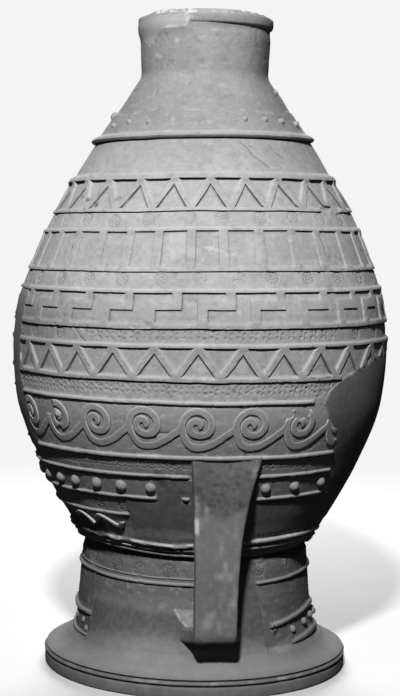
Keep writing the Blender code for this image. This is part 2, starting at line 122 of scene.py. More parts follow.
# %% [markdown]
# ## The plain wall
# The wall is a turned shape, so one radius for each height says all of it. The swell of the body
# is a smooth cubic through a few shares of its height, the same rule as in the solid. It is
# worked out once for a fine ladder of heights, and read from there for any number of points.

# %% The outline as a table
def eased(knots):
    """A cubic through the knots that is level at the belly and never overshoots."""
    rises = [(b[1] - a[1]) / (b[0] - a[0]) for a, b in zip(knots, knots[1:])]
    inner = [0.0 if a * b <= 0 else 2 * a * b / (a + b) for a, b in zip(rises, rises[1:])]
    slopes = [rises[0]] + inner + [rises[-1]]
    slopes[0 if knots[0][1] == 1.0 else -1] = 0.0

    def at(x):
        """The value of the cubic."""
        i = min(sum(1 for knot in knots[1:] if knot[0] < x), len(knots) - 2)
        (x0, y0), (x1, y1) = knots[i], knots[i + 1]
        t = (x - x0) / (x1 - x0)
        u = 1 - t
        curve = y0 * (1 + 2 * t) * u * u + y1 * (3 - 2 * t) * t * t
        return curve + (x1 - x0) * t * u * (slopes[i] * u - slopes[i + 1] * t)

    return at


below, above = eased(BELOW), eased(ABOVE)


def plain_radius(z):
    """Radius of the turned shape at one height."""
    if z < FOOT_TOP:
        return SLOPE_R + (STEM_FOOT_R - SLOPE_R) * max(0.0, z - FOOT_EDGE) / (FOOT_TOP - FOOT_EDGE)
    if z < STEM_TOP:
        return STEM_FOOT_R + (STEM_R - STEM_FOOT_R) * (z - FOOT_TOP) / (STEM_TOP - FOOT_TOP)
    share = (z - STEM_TOP) / (BODY_TOP - STEM_TOP)
    if share <= BELLY_SHARE:
        return STEM_R + (BELLY_R - STEM_R) * below(share)
    if share <= 1:
        return NECK_R + (BELLY_R - NECK_R) * above(share)
    return NECK_R + NECK_FLARE * min(1.0, (z - BODY_TOP) / (NECK_TOP - BODY_TOP))


LADDER = np.linspace(0, LIP_TOP, 3135)
OUTLINE = np.array([plain_radius(z) for z in LADDER])
for corner in (FOOT_TOP, BODY_TOP):
    near = np.abs(LADDER - corner) < 0.013
    OUTLINE[near] = np.convolve(OUTLINE, np.ones(41) / 41, "same")[near]
ALONG = np.concatenate([[0], np.cumsum(np.hypot(np.diff(LADDER), np.diff(OUTLINE)))])


def wall(z):
    """Radius of the plain wall."""
    return np.interp(z, LADDER, OUTLINE)


def unrolled(z):
    """How far up the wall a height lies, measured along its outline."""
    return np.interp(z, LADDER, ALONG)


def lean_of(z):
    """How much the radius of the wall grows with height."""
    return (wall(z + 0.003) - wall(z - 0.003)) / 0.006


def wrapped(theta):
    """The same angles, between minus and plus half a turn."""
    return np.mod(theta + math.pi, TURN) - math.pi


def in_turn(degrees):
    """The same angle in degrees, from -180 to 180."""
    return (degrees + 180) % 360 - 180


def inside(z):
    """Radius of the hollow: one wall in, with a sloping corner at the floor."""
    body = wall(z) - WALL * np.hypot(1, lean_of(z))
    low = np.interp(z, HOLLOW_LOW_Z, HOLLOW_LOW_R)
    neck = np.interp(z, HOLLOW_NECK_Z, [1.0, MOUTH_R])
    body = np.where(z > HOLLOW_NECK_Z[0], np.minimum(body, neck), body)
    return np.where(z < HOLLOW_LOW_Z[-1], low, body)


print("belly", round(float(wall(0.77)), 4), "length of the outline", round(float(ALONG[-1]), 3))

# %% [markdown]
# ## Chance, kept steady
# Handmade clay is never even. One helper gives smooth random values in space: it scrambles the
# numbers of a lattice and blends between them, so the same place always gives the same value.

# %% Smooth noise, steps and places on the wall
def noise(places, size, seed):
    """Smooth values from -1 to 1 with features of about this size."""
    cell = places / size
    corner = np.floor(cell).astype(np.int64)
    t = cell - corner
    t = t * t * (3 - 2 * t)
    total = np.zeros(len(places))
    for step in np.ndindex(2, 2, 2):
        spot = (corner + step) * (73856093, 19349663, 83492791)
        mixed = spot[:, 0] ^ spot[:, 1] ^ spot[:, 2] ^ (seed * 2654435761)
        mixed = ((mixed ^ (mixed >> 13)) * 1274126177) & 0xFFFFFFFF
        mixed = ((mixed ^ (mixed >> 16)) * 668265263) & 0xFFFFFFFF
        weight = np.prod(np.where(step, t, 1 - t), axis=1)
        total += weight * ((mixed >> 9) / 4194303.5 - 1)
    return total


def ramp(low, high, value):
    """0 at low, 1 at high and smooth between, whichever is larger."""
    t = np.clip((value - low) / (high - low), 0, 1)
    return t * t * (3 - 2 * t)


def window(value, start, full, last, end):
    """1 from full to last, 0 before start and after end, and smooth between."""
    return ramp(start, full, value) * (1 - ramp(last, end, value))


def placed(theta, z, radius):
    """Places in space from angle, height and radius."""
    return np.stack([radius * np.sin(theta), -radius * np.cos(theta), z], axis=1)


print("one steady value:", round(float(noise(np.full((1, 3), 0.5), 0.07, 1)[0]), 4))

# %% [markdown]
# ## The plaster mends
# The mender's plaster is smooth and covers what was lost: the lower right of the body, a panel
# beside the handle, a strip far left, most of the stem, and a patch on the lip. Each is a mask, 1
# on plaster and 0 on old clay, with a ragged edge, and the relief fades wherever the mask is 1.

# %% Masks of the mends
FILL_EDGE_Z = [0.330, 0.367, 0.452, 0.500, 0.546, 0.608, 0.669, 0.700, 0.726, 0.761, 0.775]
FILL_EDGE = [71.4, 71.1, 57.0, 52.0, 50.2, 46.2, 38.8, 41.0, 45.2, 63.3, 84.0]

LIP_PATCH_TURN = [-115, -100, -76, -65, -57.6, -50, -46, -43.8, -35, -25, -15.5, -13.0, -11.5]
LIP_PATCH_LOW = [1.5650, 1.5200, 1.5100, 1.4970, 1.4860, 1.4980, 1.5090, 1.5190, 1.5250, 1.5250, 1.5265,
                 1.5370, 1.5600]


def roughness(at):
    """The rag of a mend's edge."""
    return 1.6 * noise(at, 0.030, 11) + 0.7 * noise(at, 0.009, 12)


def over_lip_patch(turn, z, rough):
    """Height over the ragged lower edge of the patch on the lip."""
    return z + 0.0010 * rough - np.interp(turn + rough, LIP_PATCH_TURN, LIP_PATCH_LOW, left=2, right=2)


def mends(theta, z, at):
    """How much of each place is plaster."""
    turn = np.degrees(theta)
    rough = roughness(at)
    fill_edge = np.interp(z, FILL_EDGE_Z, FILL_EDGE, left=71.4, right=200)
    right = ramp(-0.4, 0.4, turn + rough - fill_edge)
    right *= ramp(-0.4, 0.4, LOST + rough - turn) * ramp(0.330, 0.334, z)
    low = np.where(z < 0.452, window(turn, 16, 18, 72, 76) * ramp(0.3600, 0.3612, z), 0)
    panel = window(turn, -26.9, -26.4, 18, 20)
    panel *= ramp(0.355, 0.357, z) * (1 - ramp(0.4485, 0.4505, z + 0.0018 * rough))
    handle = ramp(-14.2, -13.6, turn + 0.3 * rough) * (1 - ramp(20.4, 21.0, turn)) * ramp(0.43, 0.432, z)
    handle *= 1 - ramp(0.5035, 0.5055, z)
    handle *= 1 - window(turn, -6.0, -5.6, -2.6, -2.2) * window(z, 0.446, 0.449, 0.467, 0.470)
    edge = np.interp(z, [0.09, 0.17, 0.25], [34.5, 33.0, 29.5])
    stem = ramp(-58.8, -57.2, turn + rough) * (1 - ramp(-0.5, 0.5, turn + 0.4 * rough - edge))
    stem *= 1 - ramp(0.170, 0.215, z + 0.004 * rough)
    behind = ramp(-1, 1, turn + 0.5 * rough) * (1 - ramp(-0.5, 0.5, turn - edge))
    behind *= 1 - ramp(0.300, 0.303, z)
    slope = 1 - ramp(0.078, 0.086, z + 0.001 * rough)
    strip_end = turn + 0.7 * rough - 3 * ramp(0.70, 0.66, z)
    strip = ramp(-86, -84.5, turn + rough) * (1 - ramp(-68.6, -67.6, strip_end))
    strip *= window(z, 0.535, 0.545, 0.895, 0.955)
    lip = ramp(-0.0012, 0.0012, over_lip_patch(turn, z, rough))
    parts = [right, low, panel, handle, stem, behind, slope, strip, lip]
    return 1 - np.prod([1 - part for part in parts], axis=0)


print("the fill's edge runs from", min(FILL_EDGE), "to", max(FILL_EDGE), "degrees")

# %% [markdown]
# ## Friezes between the ridges
# Four friezes stand as flat strips, level with the ridges that bound them, with sunk panels
# between: two zigzags, a row of uprights and a stepped key. Only one repeat of each is drawn. A
# point anywhere on the jar is turned back to that repeat, and its distance to the panel's edge
# says how deep it lies. The edge under a strip is cut sharp and painted dark as shade, and the one
# on top is worn and painted pale as a highlight.

# %% One repeat of each frieze, and how the repeats were set out
SET_OUT = {
    "I": (30, [-37.0, -24.9, -12.6, -0.5, 12.0, 24.0, 36.3]),
    "G": (25, [-63.3, -48.4, -34.4, -21.1, -7.0, 8.6, 23.7, 38.7, 52.4, 64.8]),
    "E": (33, [-68.6, -57.2, -46.6, -35.1, -24.2, -14.3, -3.4, 6.8, 18.9, 31.3, 42.0, 54.4, 66.0]),
    "C": (25, [-41.0, -25.2, -11.2, 3.2, 16.8, 31.1, 47.0]),
}


def repeats(name):
    """Numbers and angles of the repeats over three turns: as seen at the front, even behind."""
    count, seen = SET_OUT[name]
    seen = np.radians(seen)
    rest = np.linspace(seen[-1], seen[0] + TURN, count - len(seen) + 2)[1:-1]
    angles, numbers = np.concatenate([seen, rest]), np.arange(count)
    numbers = np.concatenate([numbers - count, numbers, numbers + count])
    return numbers, np.concatenate([angles - TURN, angles, angles + TURN])


def frieze_panels(name):
    """Outlines of one repeat's sunk panels, in metres from its middle, and its length."""
    low = RIDGES[name][0] + RIDGES[name][1] - 0.0035
    high = RIDGES[FRIEZES[name]][0] + 0.0004
    pitch = TURN / SET_OUT[name][0] * float(wall((low + high) / 2))
    if name in "IC":
        foot, tip = 0.39 * pitch, 0.20 * (high - low)
        up = [(-foot, low), (foot, low), (0, high - tip)]
        half = pitch / 2
        down = [(half + foot, high), (half - foot, high), (half, low + 0.9 * tip)]
        return [up, down], pitch
    width = 0.0215
    if name == "E":
        left, right = width / 2, pitch - width / 2
        return [[(left, low), (right, low), (right, high), (left, high)]], pitch
    bar = (low + high) / 2 + 0.0075
    top, under = bar + width / 2, bar - width / 2
    shift = 0.52 * pitch
    key = [(width / 2, high), (width / 2, under), (width / 2 - shift, under), (width / 2 - shift, low)]
    key += [(pitch - shift - width / 2, low), (pitch - shift - width / 2, top)]
    key += [(pitch - width / 2, top), (pitch - width / 2, high)]
    return [key], pitch


print({name: (SET_OUT[name][0], round(frieze_panels(name)[1], 4)) for name in FRIEZES})


# %% Outlines, and how far a point is from them
def turned_right(outline):
    """The outline in the order that keeps its inside on the left."""
    area = sum(a[0] * b[1] - b[0] * a[1] for a, b in zip(outline, outline[1:] + outline[:1]))
    return outline if area > 0 else outline[::-1]


def moved_out(outline, distance):
    """The outline moved outwards by this distance, corner by corner."""
    result = []
    for before, here, after in zip(outline[-1:] + outline[:-1], outline, outline[1:] + outline[:1]):
        a = (Vector(here) - Vector(before)).normalized()
        b = (Vector(after) - Vector(here)).normalized()
        out = (Vector((a.y, -a.x)) + Vector((b.y, -b.x))).normalized()
        share = max(0.35, out.dot(Vector((a.y, -a.x))))
        result.append((here[0] + out.x * distance / share, here[1] + out.y * distance / share))
    return result


def stepped(outline, size):
    """Points along a closed outline, about this far apart."""
    points = []
    for a, b in zip(outline, outline[1:] + outline[:1]):
        count = max(1, round(math.dist(a, b) / size))
        dx, dz = b[0] - a[0], b[1] - a[1]
        points += [(a[0] + dx * i / count, a[1] + dz * i / count) for i in range(count)]
    return points


def outline_distance(x, z, outline):
    """Distance to a closed outline, below zero inside, and how far its side faces up and left."""
    nearest = np.full(len(x), 9.0)
    facing, sideways = np.zeros(len(x)), np.zeros(len(x))
    crossed = np.zeros(len(x), bool)
    for a, b in zip(outline, outline[1:] + outline[:1]):
        dx, dz = b[0] - a[0], b[1] - a[1]
        t = np.clip(((x - a[0]) * dx + (z - a[1]) * dz) / (dx * dx + dz * dz), 0, 1)
        away = np.hypot(x - a[0] - t * dx, z - a[1] - t * dz)
        closer = away < nearest
        nearest = np.where(closer, away, nearest)
        facing = np.where(closer, -dx / math.hypot(dx, dz), facing)
        sideways = np.where(closer, dz / math.hypot(dx, dz), sideways)
        spans = (a[1] > z) != (b[1] > z)
        with np.errstate(divide="ignore", invalid="ignore"):
            crossed ^= spans & (x < a[0] + dx * (z - a[1]) / dz)
    return np.where(crossed, -nearest, nearest), facing, sideways


def panel_distance(name, theta, z):
    """Distance to the nearest panel edge, below zero inside, and how far it faces up and left."""
    panels, pitch = frieze_panels(name)
    numbers, angles = repeats(name)
    place = np.interp(theta, angles, numbers)
    local = (place - np.round(place)) * pitch
    found = [np.full(len(local), 9.0), np.zeros(len(local)), np.zeros(len(local))]
    for panel in panels:
        for shift in (-pitch, 0, pitch):
            outline = [(a + shift, b) for a, b in turned_right(panel)]
            seen = outline_distance(local, z, outline)
            closer = seen[0] < found[0]
            found = [np.where(closer, new, old) for new, old in zip(seen, found)]
    return found


probe = panel_distance("C", np.radians([3.2]), np.array([1.13]))
print("inside a panel by", round(-1000 * float(probe[0][0]), 1), "mm")

# %% [markdown]
# ## Relief as one rule
# Everything raised or sunk on the wall is a number added to its radius. Ridges come first, then
# the friezes, the mends, and last the wear: soft waves from the potter's hands, pits, bites out
# of edges and cracks. The same rule also says where dirt lies and where shade is painted, and
# where edges are rubbed pale and where highlights are painted.

# %% Single marks
# Kind, angle, height, half width and half height in mm, lean, depth in mm, dirt and paleness
MARKS = [
    ("hole", -49.6, 1.123, 8, 6, 0, 3.0, 0.7, 0.0), ("hole", -44.1, 1.111, 7, 5, 0, 3.0, 0.8, 0.0),
    ("hole", -33.4, 1.127, 9, 5, 20, 2.5, 0.5, 0.2), ("hole", -55.7, 1.130, 8, 6, 0, 2.5, 0.6, 0.2),
    ("pit", 41.2, 0.128, 8, 8, 0, 4.0, 0.8, 0.0), ("chip", -15.4, 0.200, 15, 8, 20, 3.0, 0.35, 0.35),
    ("chip", -18.2, 0.193, 7, 3, 0, 2.0, 0.8, 0.0), ("pale clay", -8.0, 1.020, 22, 30, 0, 0.0, 0.0, 0.26),
    ("pale clay", -3.0, 1.006, 14, 12, 0, 0.0, 0.0, 0.22),
    ("streak", 3.5, 1.012, 24, 3.0, -14, 0.0, 0.0, 0.5),
    ("streak", 8.6, 0.999, 14, 2.6, 10, 0.0, 0.0, 0.38),
    ("pale clay", 17.0, 1.010, 18, 22, 0, 0.0, 0.0, 0.20),
    ("pale clay", 0.5, 0.760, 20, 14, 0, 0.0, 0.0, 0.25),
    ("pale clay", 12.0, 0.758, 14, 12, 0, 0.0, 0.0, 0.18),
    ("loss", -17.0, 0.846, 26, 7, 4, 3.5, 0.35, 0.3), ("loss", 42.0, 0.969, 16, 6, -20, 3.0, 0.3, 0.4),
    ("loss", 42.5, 0.922, 13, 6, 0, 3.0, 0.4, 0.2), ("loss", 53.0, 1.100, 22, 8, 0, 3.0, 0.2, 0.4),
    ("loss", -12.0, 0.966, 12, 5, 0, 2.5, 0.3, 0.5), ("loss", -50.0, 1.101, 11, 4, 0, 2.5, 0.3, 0.3),
    ("loss", -25.0, 1.104, 9, 4, 0, 2.2, 0.2, 0.3), ("loss", 28.0, 1.058, 9, 4, 0, 2.5, 0.2, 0.4),
    ("rough", -40.0, 1.496, 20, 15, 0, 0.8, 0.25, 0.25),
    ("rough", -28.0, 1.510, 20, 11, 0, 0.8, 0.2, 0.3), ("rough", -12.0, 0.505, 16, 22, 0, 1.0, 0.3, 0.0),
    ("pale clay", -25.0, 1.494, 5, 4, 0, 0.0, 0.0, 0.5),
    ("pale clay", -47.5, 1.463, 7, 3, 20, 0.0, 0.0, 0.5),
    ("pale clay", -43.5, 1.459, 6, 3, -20, 0.0, 0.0, 0.5),
    ("rough", -60.0, 0.268, 16, 14, 0, 1.2, 0.2, 0.1), ("rough", 31.0, 0.290, 14, 12, 0, 1.4, 0.2, 0.2),
    ("rough", 49.0, 0.292, 12, 10, 0, 1.6, 0.2, 0.3),
    ("pale clay", 44.0, 0.092, 40, 14, 5, 0.0, 0.1, 0.20),
    ("loss", 150.0, 0.846, 24, 7, 0, 3.5, 0.3, 0.3), ("loss", -140.0, 1.060, 20, 7, 0, 3.0, 0.3, 0.3),
    ("rough", -115.0, 0.640, 40, 30, 15, 1.0, 0.2, 0.1), ("loss", 128.0, 1.270, 18, 7, 0, 4.0, 0.2, 0.4),
]
BRIGHT_PLASTER = [(-9.3, 0.191), (-0.9, 0.192), (-0.7, 0.142), (-2.0, 0.139), (-3.5, 0.146), (-6.8, 0.166)]


def marks(theta, z, at):
    """Depth, dirt and paleness of the single marks."""
    depth, dirt, pale = (np.zeros(len(z)) for _ in range(3))
    rough = noise(at, 0.008, 36) + 0.6 * noise(at, 0.004, 37)
    for kind, turn, level, across, up, lean, deep, dark, light in MARKS:
        if z.max() < level - 0.05 or z.min() > level + 0.05:
            continue
        radius = float(wall(level))
        x = wrapped(theta - math.radians(turn)) * radius * 1000
        y = (unrolled(z) - float(unrolled(level))) * 1000
        c, d = math.cos(math.radians(lean)), math.sin(math.radians(lean))
        away = np.hypot((x * c + y * d) / across, (y * c - x * d) / up)
        away += (0.55 if kind == "rough" else 0.28) * rough
        share = 1 - ramp(0.75, 1.15 if deep else 1.4, away)
        uneven_depth = 0.6 + 0.4 * rough if kind in ("rough", "chip") else 1
        depth = np.maximum(depth, share * deep / 1000 * uneven_depth)
        dirt = np.maximum(dirt, share * dark)
        pale = np.maximum(pale, share * light)
    if z.min() < 0.2:
        radius = float(wall(0.17))
        outline = [(math.radians(turn) * radius, level) for turn, level in BRIGHT_PLASTER]
        away = outline_distance(theta * radius, z, turned_right(outline))[0] + 0.001 * rough
        share = 1 - ramp(-0.001, 0.0015, away)
        rim = np.exp(-((away / 0.0022) ** 2)) * ramp(-1.0, -5.0, np.degrees(theta))
        depth += 0.0018 * share
        pale = np.maximum.reduce([pale, share * (0.36 + 0.2 * rough), 0.7 * rim])
    return depth, dirt, pale


print(len(MARKS), "marks")

# %% Cracks
CRACKS = [
    [(18.4, 1.250), (21.3, 1.237), (23.0, 1.221), (26.3, 1.208), (29.4, 1.194)],
    [(33.2, 1.246), (35.6, 1.228), (39.6, 1.217)],
    [(61.8, 1.258), (60.7, 1.236), (61.0, 1.206)],
    [(-39.0, 0.838), (-37.6, 0.828), (-36.6, 0.818), (-34.5, 0.808)],
    [(-11.6, 0.609), (-8.0, 0.610), (-4.4, 0.608)],
    [(22.0, 1.243), (24.2, 1.240)],
    [(150, 1.25), (153, 1.232), (149, 1.21), (155, 1.196)],
    [(-120, 0.832), (-117, 0.820), (-118, 0.812)],
]
CRACK_HALF = 0.0016
CRACK_ROWS = (-0.0017, 0.0, 0.0017)


def line_distance(line, theta, z):
    """Distance along the wall to a line of angles in degrees and heights."""
    nearest = np.full(len(z), 9.0)
    for a, b in zip(line, line[1:]):
        radius = float(wall((a[1] + b[1]) / 2))
        x = (theta - math.radians(a[0])) * radius
        y = unrolled(z) - unrolled(a[1])
        dx = math.radians(b[0] - a[0]) * radius
        dy = unrolled(b[1]) - unrolled(a[1])
        t = np.clip((x * dx + y * dy) / (dx * dx + dy * dy), 0, 1)
        nearest = np.minimum(nearest, np.hypot(x - t * dx, y - t * dy))
    return nearest


def crack_depth(theta, z):
    """1 in the middle of a crack and 0 away from it."""
    nearest = np.min([line_distance(line, theta, z) for line in CRACKS], axis=0)
    return 1 - np.clip(nearest / CRACK_HALF, 0, 1)


print(len(CRACKS), "cracks")

# %% Ridges
SECTIONS = {
    "band": ([0, 0.04, 0.14, 0.30, 0.58, 0.80, 1.0], [0, 0.84, 0.98, 1.0, 0.93, 0.50, 0]),
    "step": ([0, 0.04, 0.14, 0.30, 1.0], [0, 0.84, 0.98, 1.0, 1.0]),
    "rod": ([0, 0.04, 0.14, 0.30, 0.58, 0.80, 1.0], [0, 0.66, 0.90, 1.0, 0.95, 0.56, 0]),
}
# Where each section's top is painted pale: wear, and a painted highlight where the top faces the lamp.
PALE_SPAN = {"band": [0.50, 0.75, 1.0], "step": [0.0, 0.1, 0.3], "rod": [0.45, 0.75, 1.0]}


def ridge_relief(z, at, turn, ragged):
    """Height of the ridges, the dirt and painted shade under them, and their rubbed edges and painted
    highlights.
    """
    height, dirt, rubbed = (np.zeros(len(z)) for _ in range(3))
    torn = ramp(0.05, 0.55, noise(at, 0.011, 35) + 0.5 * noise(at, 0.030, 38))
    flakes = noise(at * (0.45, 0.45, 1.4), 0.0065, 35) + 0.8 * noise(at, 0.024, 38)
    finer = ramp(-0.2, 0.7, flakes) * ramp(10, -2, turn)
    for name, (low, tall, rise, kind, gaps) in RIDGES.items():
        near = (z > low - 0.012) & (z < low + tall + 0.004)
        if not near.any():
            continue
        keep = np.ones(len(z))
        for start, end in gaps:
            lost = ramp(-0.25, 0.25, turn + ragged - start) * ramp(-0.25, 0.25, end - turn + ragged)
            keep *= 1 - lost
        t = (z - low) / tall
        keep *= 1 - TORN.get(name, 0.0) * (finer if name in "OP" else torn)
        shape = np.interp(t, *SECTIONS[kind], left=0, right=0)
        height = np.where(near, np.maximum(height, keep * rise * shape), height)
        if name not in FRIEZES.values():
            # The groove under each ridge is darkened: dirt in the groove, and painted shade where the
            # ridge's shadow falls.
            cut_and_shade = keep * np.interp(z - low, [-0.0034, -0.0015, 0.0, 0.0004], [0, 1, 0.9, 0])
            cut_and_shade *= 0.4 if name == "thin line" else 1
            height -= 0.0016 * cut_and_shade
            dirt = np.maximum(dirt, cut_and_shade)
        # The top slope of a ridge is painted pale as a highlight, with some wear; the low ridges in
        # RIDGE_SHINE get more.
        shine = RIDGE_SHINE.get(name, 0.45) * (1 + 0.4 * (torn - 0.5) * (name in RIDGE_SHINE))
        pale = np.interp(t, PALE_SPAN[kind], [0, 1, 0], left=0, right=0)
        rubbed = np.maximum(rubbed, keep * shine * pale)
    return height, dirt, rubbed


print("cross-sections:", list(SECTIONS))


# %% Friezes
def with_friezes(theta, z, height, dirt, rubbed):
    """The same three with the strips and sunk panels of the friezes."""
    for name, upper in FRIEZES.items():
        low, tall, rise = RIDGES[name][:3]
        upper_low, upper_tall, upper_rise = RIDGES[upper][:3]
        field = (z >= low + 0.14 * tall) & (z <= upper_low + 0.30 * upper_tall)
        if not field.any():
            continue
        layer = np.interp(
            z,
            [low + tall, low + tall + 0.008, upper_low - 0.008, upper_low + 0.1 * upper_tall],
            [rise, STRIP_RISE[name], STRIP_RISE[name], upper_rise],
        )
        away, facing, sideways = panel_distance(name, theta, z)
        away = away * 1000
        # Edges under a strip get a groove painted dark as shade; steep sides get some of that painted
        # shade, less on the lit right sides.
        under, over = ramp(0.1, 0.45, facing), ramp(0.1, 0.45, -facing)
        sharp = np.interp(away, [-0.5, 0.9, 3.0], [0, 0.97, 1])
        soft = np.interp(away, [-3.0, -1.5, -0.5, 0.9, 3.0], [0, 0.30, 0.66, 0.97, 1])
        share = sharp * (1 - over) + soft * over
        one_sided = 1 - LIT_SIDES_SPARED[name] * ramp(-0.3, 0.4, sideways)
        steep = STEEP_CUT_AND_SHADE[name] * (1 - under - over) * one_sided
        cut_and_shade = np.interp(away, [-3.6, -1.8, -0.4, 0.9], [0, 1, 0.9, 0]) * (under + steep)
        shown = layer * share - 0.0005 * (1 - share) - 0.0012 * cut_and_shade
        on_ridge = np.where(z < low + tall, np.minimum(shown, height), shown)
        height = np.where(field, on_ridge, height)
        height = np.where(field & (z > upper_low), np.maximum(height, layer * sharp), height)
        dirt = np.where(field, np.maximum(dirt, cut_and_shade), dirt)
        # Upper edges are painted pale: a painted highlight where they face the lamp, with some wear.
        pale = np.interp(away, [-2.5, -0.5, 0.9, 2.5], [0, 0.6, 0.9, 0])
        pale *= (over + 0.25 * (1 - under - over)) * EDGE_SHINE[name]
        rubbed = np.where(field, np.maximum(rubbed, pale), rubbed)
    return height, dirt, rubbed


print("friezes by their lower and upper ridge:", FRIEZES)

# %% Painted shade by place: strength, whether both sides are meant, and windows of degrees and of heights
PAINTED_SHADE = [
    (0.20, True, (35, 70, 200, 201), (0.58, 0.66, 0.86, 0.94)),
    (0.24, True, (20, 65, 200, 201), (-2, -1, 0.28, 0.30)),
    (0.10, False, (45, 60, 200, 201), (0.30, 0.36, 0.66, 0.78)),
    (0.30, False, (-201, -200, -62, -30), (0.76, 0.80, 0.85, 0.90)),
    (0.30, False, (-14, 10, 100, 130), (1.518, 1.534, 2, 3)),
    (0.85, False, (-84, -70, -43, -41), (0.336, 0.340, 0.374, 0.404)),
]


def painted_shade(turn, z):
    """Painted shade on parts of the jar: the neck's right side, the sides of the body and stem turned from
    the lamp, under the lip and below the hooks.
    """
    neck = (0.30 + 0.18 * ramp(1.36, 1.42, z)) * ramp(25, 70, turn) * ramp(1.22, 1.36, z)
    found = [neck]
    for most, both, round_it, up_it in PAINTED_SHADE:
        side = np.abs(turn) if both else turn
        found.append(most * window(side, *round_it) * window(z, *up_it))
    return np.maximum.reduce(found)


print(len(PAINTED_SHADE) + 1, "soiled places")


# %% What potter and mender made
def made_relief(theta, z, at, plaster):
    """Height, dirt and painted shade, and rubbed edges and painted highlights, before any wear."""
    turn = np.degrees(theta)
    ragged = 0.5 * noise(at, 0.012, 3)
    height, dirt, rubbed = with_friezes(theta, z, *ridge_relief(z, at, turn, ragged))
    smooth = 0.0022 + 0.0009 * noise(at, 0.110, 21) + 0.0002 * noise(at, 0.030, 22)
    smooth = np.where(z < 0.30, 0.0004, smooth) * ramp(FOOT_EDGE, FOOT_EDGE + 0.006, z)
    smooth = np.where(z > 1.40, 0.0006, smooth)
    band_edge = z - 1.330 + 0.007 * noise(at, 0.060, 39) - 0.003 * ragged
    height += 0.0030 * ramp(1.266, 1.270, z) * (1 - ramp(-0.0012, 0.0012, band_edge))
    chipped = ramp(-0.2, 0.5, noise(at, 0.022, 47) + 0.5 * noise(at, 0.009, 48))
    rubbed = np.maximum(rubbed, 0.42 * chipped * np.exp(-((band_edge / 0.0024) ** 2)))
    slim = window(turn, 35, 75, 105, 140)
    height -= 0.0045 * slim * window(z, 1.12, 1.17, 1.33, 1.38)
    height -= 0.0085 * slim * window(z, 0.090, 0.130, 0.300, 0.330)
    height -= 0.0030 * ramp(1.505, 1.528, z) * ramp(-5, 20, turn)
    height = height * (1 - plaster) + smooth * plaster
    height += 0.0055 * ramp(1.500, 1.533, z) * window(turn, -120, -90, -18, -9)
    height += 0.010 * np.exp(-(((z - 0.088) / 0.021) ** 2)) * plaster
    return height, dirt * (1 - plaster), rubbed * (1 - plaster)


# %% What wear did to it
OVERHANG = 0.3055


def worn_relief(theta, z, at, plaster, height, dirt, rubbed):
    """The same three after waves, bites, pits, scars, cracks and single marks, with painted shade by place
    and a painted shadow under the ledge.
    """
    turn = np.degrees(theta)
    edge = np.clip(2 * rubbed + dirt, 0, 1)
    bite = ramp(0.50, 0.78, noise(at, 0.016, 31)) * edge * (1 - plaster)
    pits = ramp(0.55, 0.80, noise(at, 0.0085, 32)) * (1 - plaster)
    patchy = ramp(-0.1, 0.5, noise(at, 0.085, 45))
    scar = noise(at * (1, 1, 1.9), 0.014, 46) - 0.25 * (1 - patchy)
    scars = ramp(0.44, 0.62, scar) * (1 - plaster)
    cracks = crack_depth(theta, z)
    deep, dark, pale = marks(theta, z, at)
    height += 0.0006 * noise(at, 0.070, 33)
    height += 0.00032 * noise(at, 0.011, 34) * (1 - 0.7 * plaster)
    height -= 0.0022 * bite + 0.0013 * pits + 0.0012 * scars + 0.0018 * cracks + deep
    # The ledge above the stem throws a shadow on the wall under it; that shadow is painted dark and cut
    # back a little, and it reaches further down at the sides.
    shadow_reach = 0.006 + 0.011 * ramp(10, 60, np.abs(turn))
    shadow_under_ledge = ramp(OVERHANG + 0.002, OVERHANG, z) * ramp(-0.0025, 0.0015, z - OVERHANG + shadow_reach)
    shadow_under_ledge *= ramp(120, 95, np.abs(turn))
    painted_shade_and_dirt = painted_shade(turn, z) + 0.16 * pits + 0.12 * scars * patchy
    dirt = np.maximum.reduce([dirt * (1 - 0.5 * bite), 0.6 * cracks, dark, shadow_under_ledge, painted_shade_and_dirt])
    dirt = np.clip(dirt, 0, 1)
    height -= 0.003 * shadow_under_ledge
    scar_rims = 0.22 * window(scar, 0.30, 0.42, 0.44, 0.56) * (1 - plaster)
    rubbed = np.clip(rubbed + 0.3 * bite, 0, 1)
    return height, dirt, np.maximum.reduce([rubbed, pale, scar_rims])


# %% Pale plaster, and the rule itself
def paled(theta, z, at, plaster, rubbed):
    """The rubbed edges and painted highlights, with the pale rims of the plaster, the bleached places and
    painted light where the stem flares out above the foot.
    """
    turn = np.degrees(theta)
    rim = np.clip(4 * plaster * (1 - plaster), 0, 1)
    lip_plaster = plaster * ramp(1.440, 1.446, z) * (0.10 + 0.90 * rim)
    # Painted light on the flare of the stem above the foot, which faces up to the lamp.
    painted_light_on_flare = 0.14 * np.exp(-(((turn + 22) / 17) ** 2) - ((z - 0.105) / 0.035) ** 2)
    bleached = 0.16 * ramp(-20, -55, turn) * window(z, 0.94, 1.00, 1.24, 1.30)
    rubbed = np.maximum.reduce([rubbed, 0.10 * rim, lip_plaster, painted_light_on_flare, bleached])
    if z.max() > NECK_TOP - 0.05:
        edge = over_lip_patch(turn, z, roughness(at))
        white = np.exp(-(((edge - 0.0008) / 0.0026) ** 2)) * window(turn, -48, -44, -16, -11)
        white *= 0.35 + 0.75 * window(turn, -37, -33, -27, -23)
        rubbed = np.maximum(rubbed, np.clip(white * (1.0 + 1.3 * noise(at, 0.009, 49)), 0, 1))
    return rubbed


def relief(theta, z):
    """Height over the plain wall, and the masks of dirt and painted shade, of rubbed edges and painted
    highlights, and of plaster.
    """
    at = placed(theta, z, wall(z))
    plaster = mends(theta, z, at)
    made = made_relief(theta, z, at, plaster)
    height, dirt, rubbed = worn_relief(theta, z, at, plaster, *made)
    return height, dirt, paled(theta, z, at, plaster, rubbed), plaster


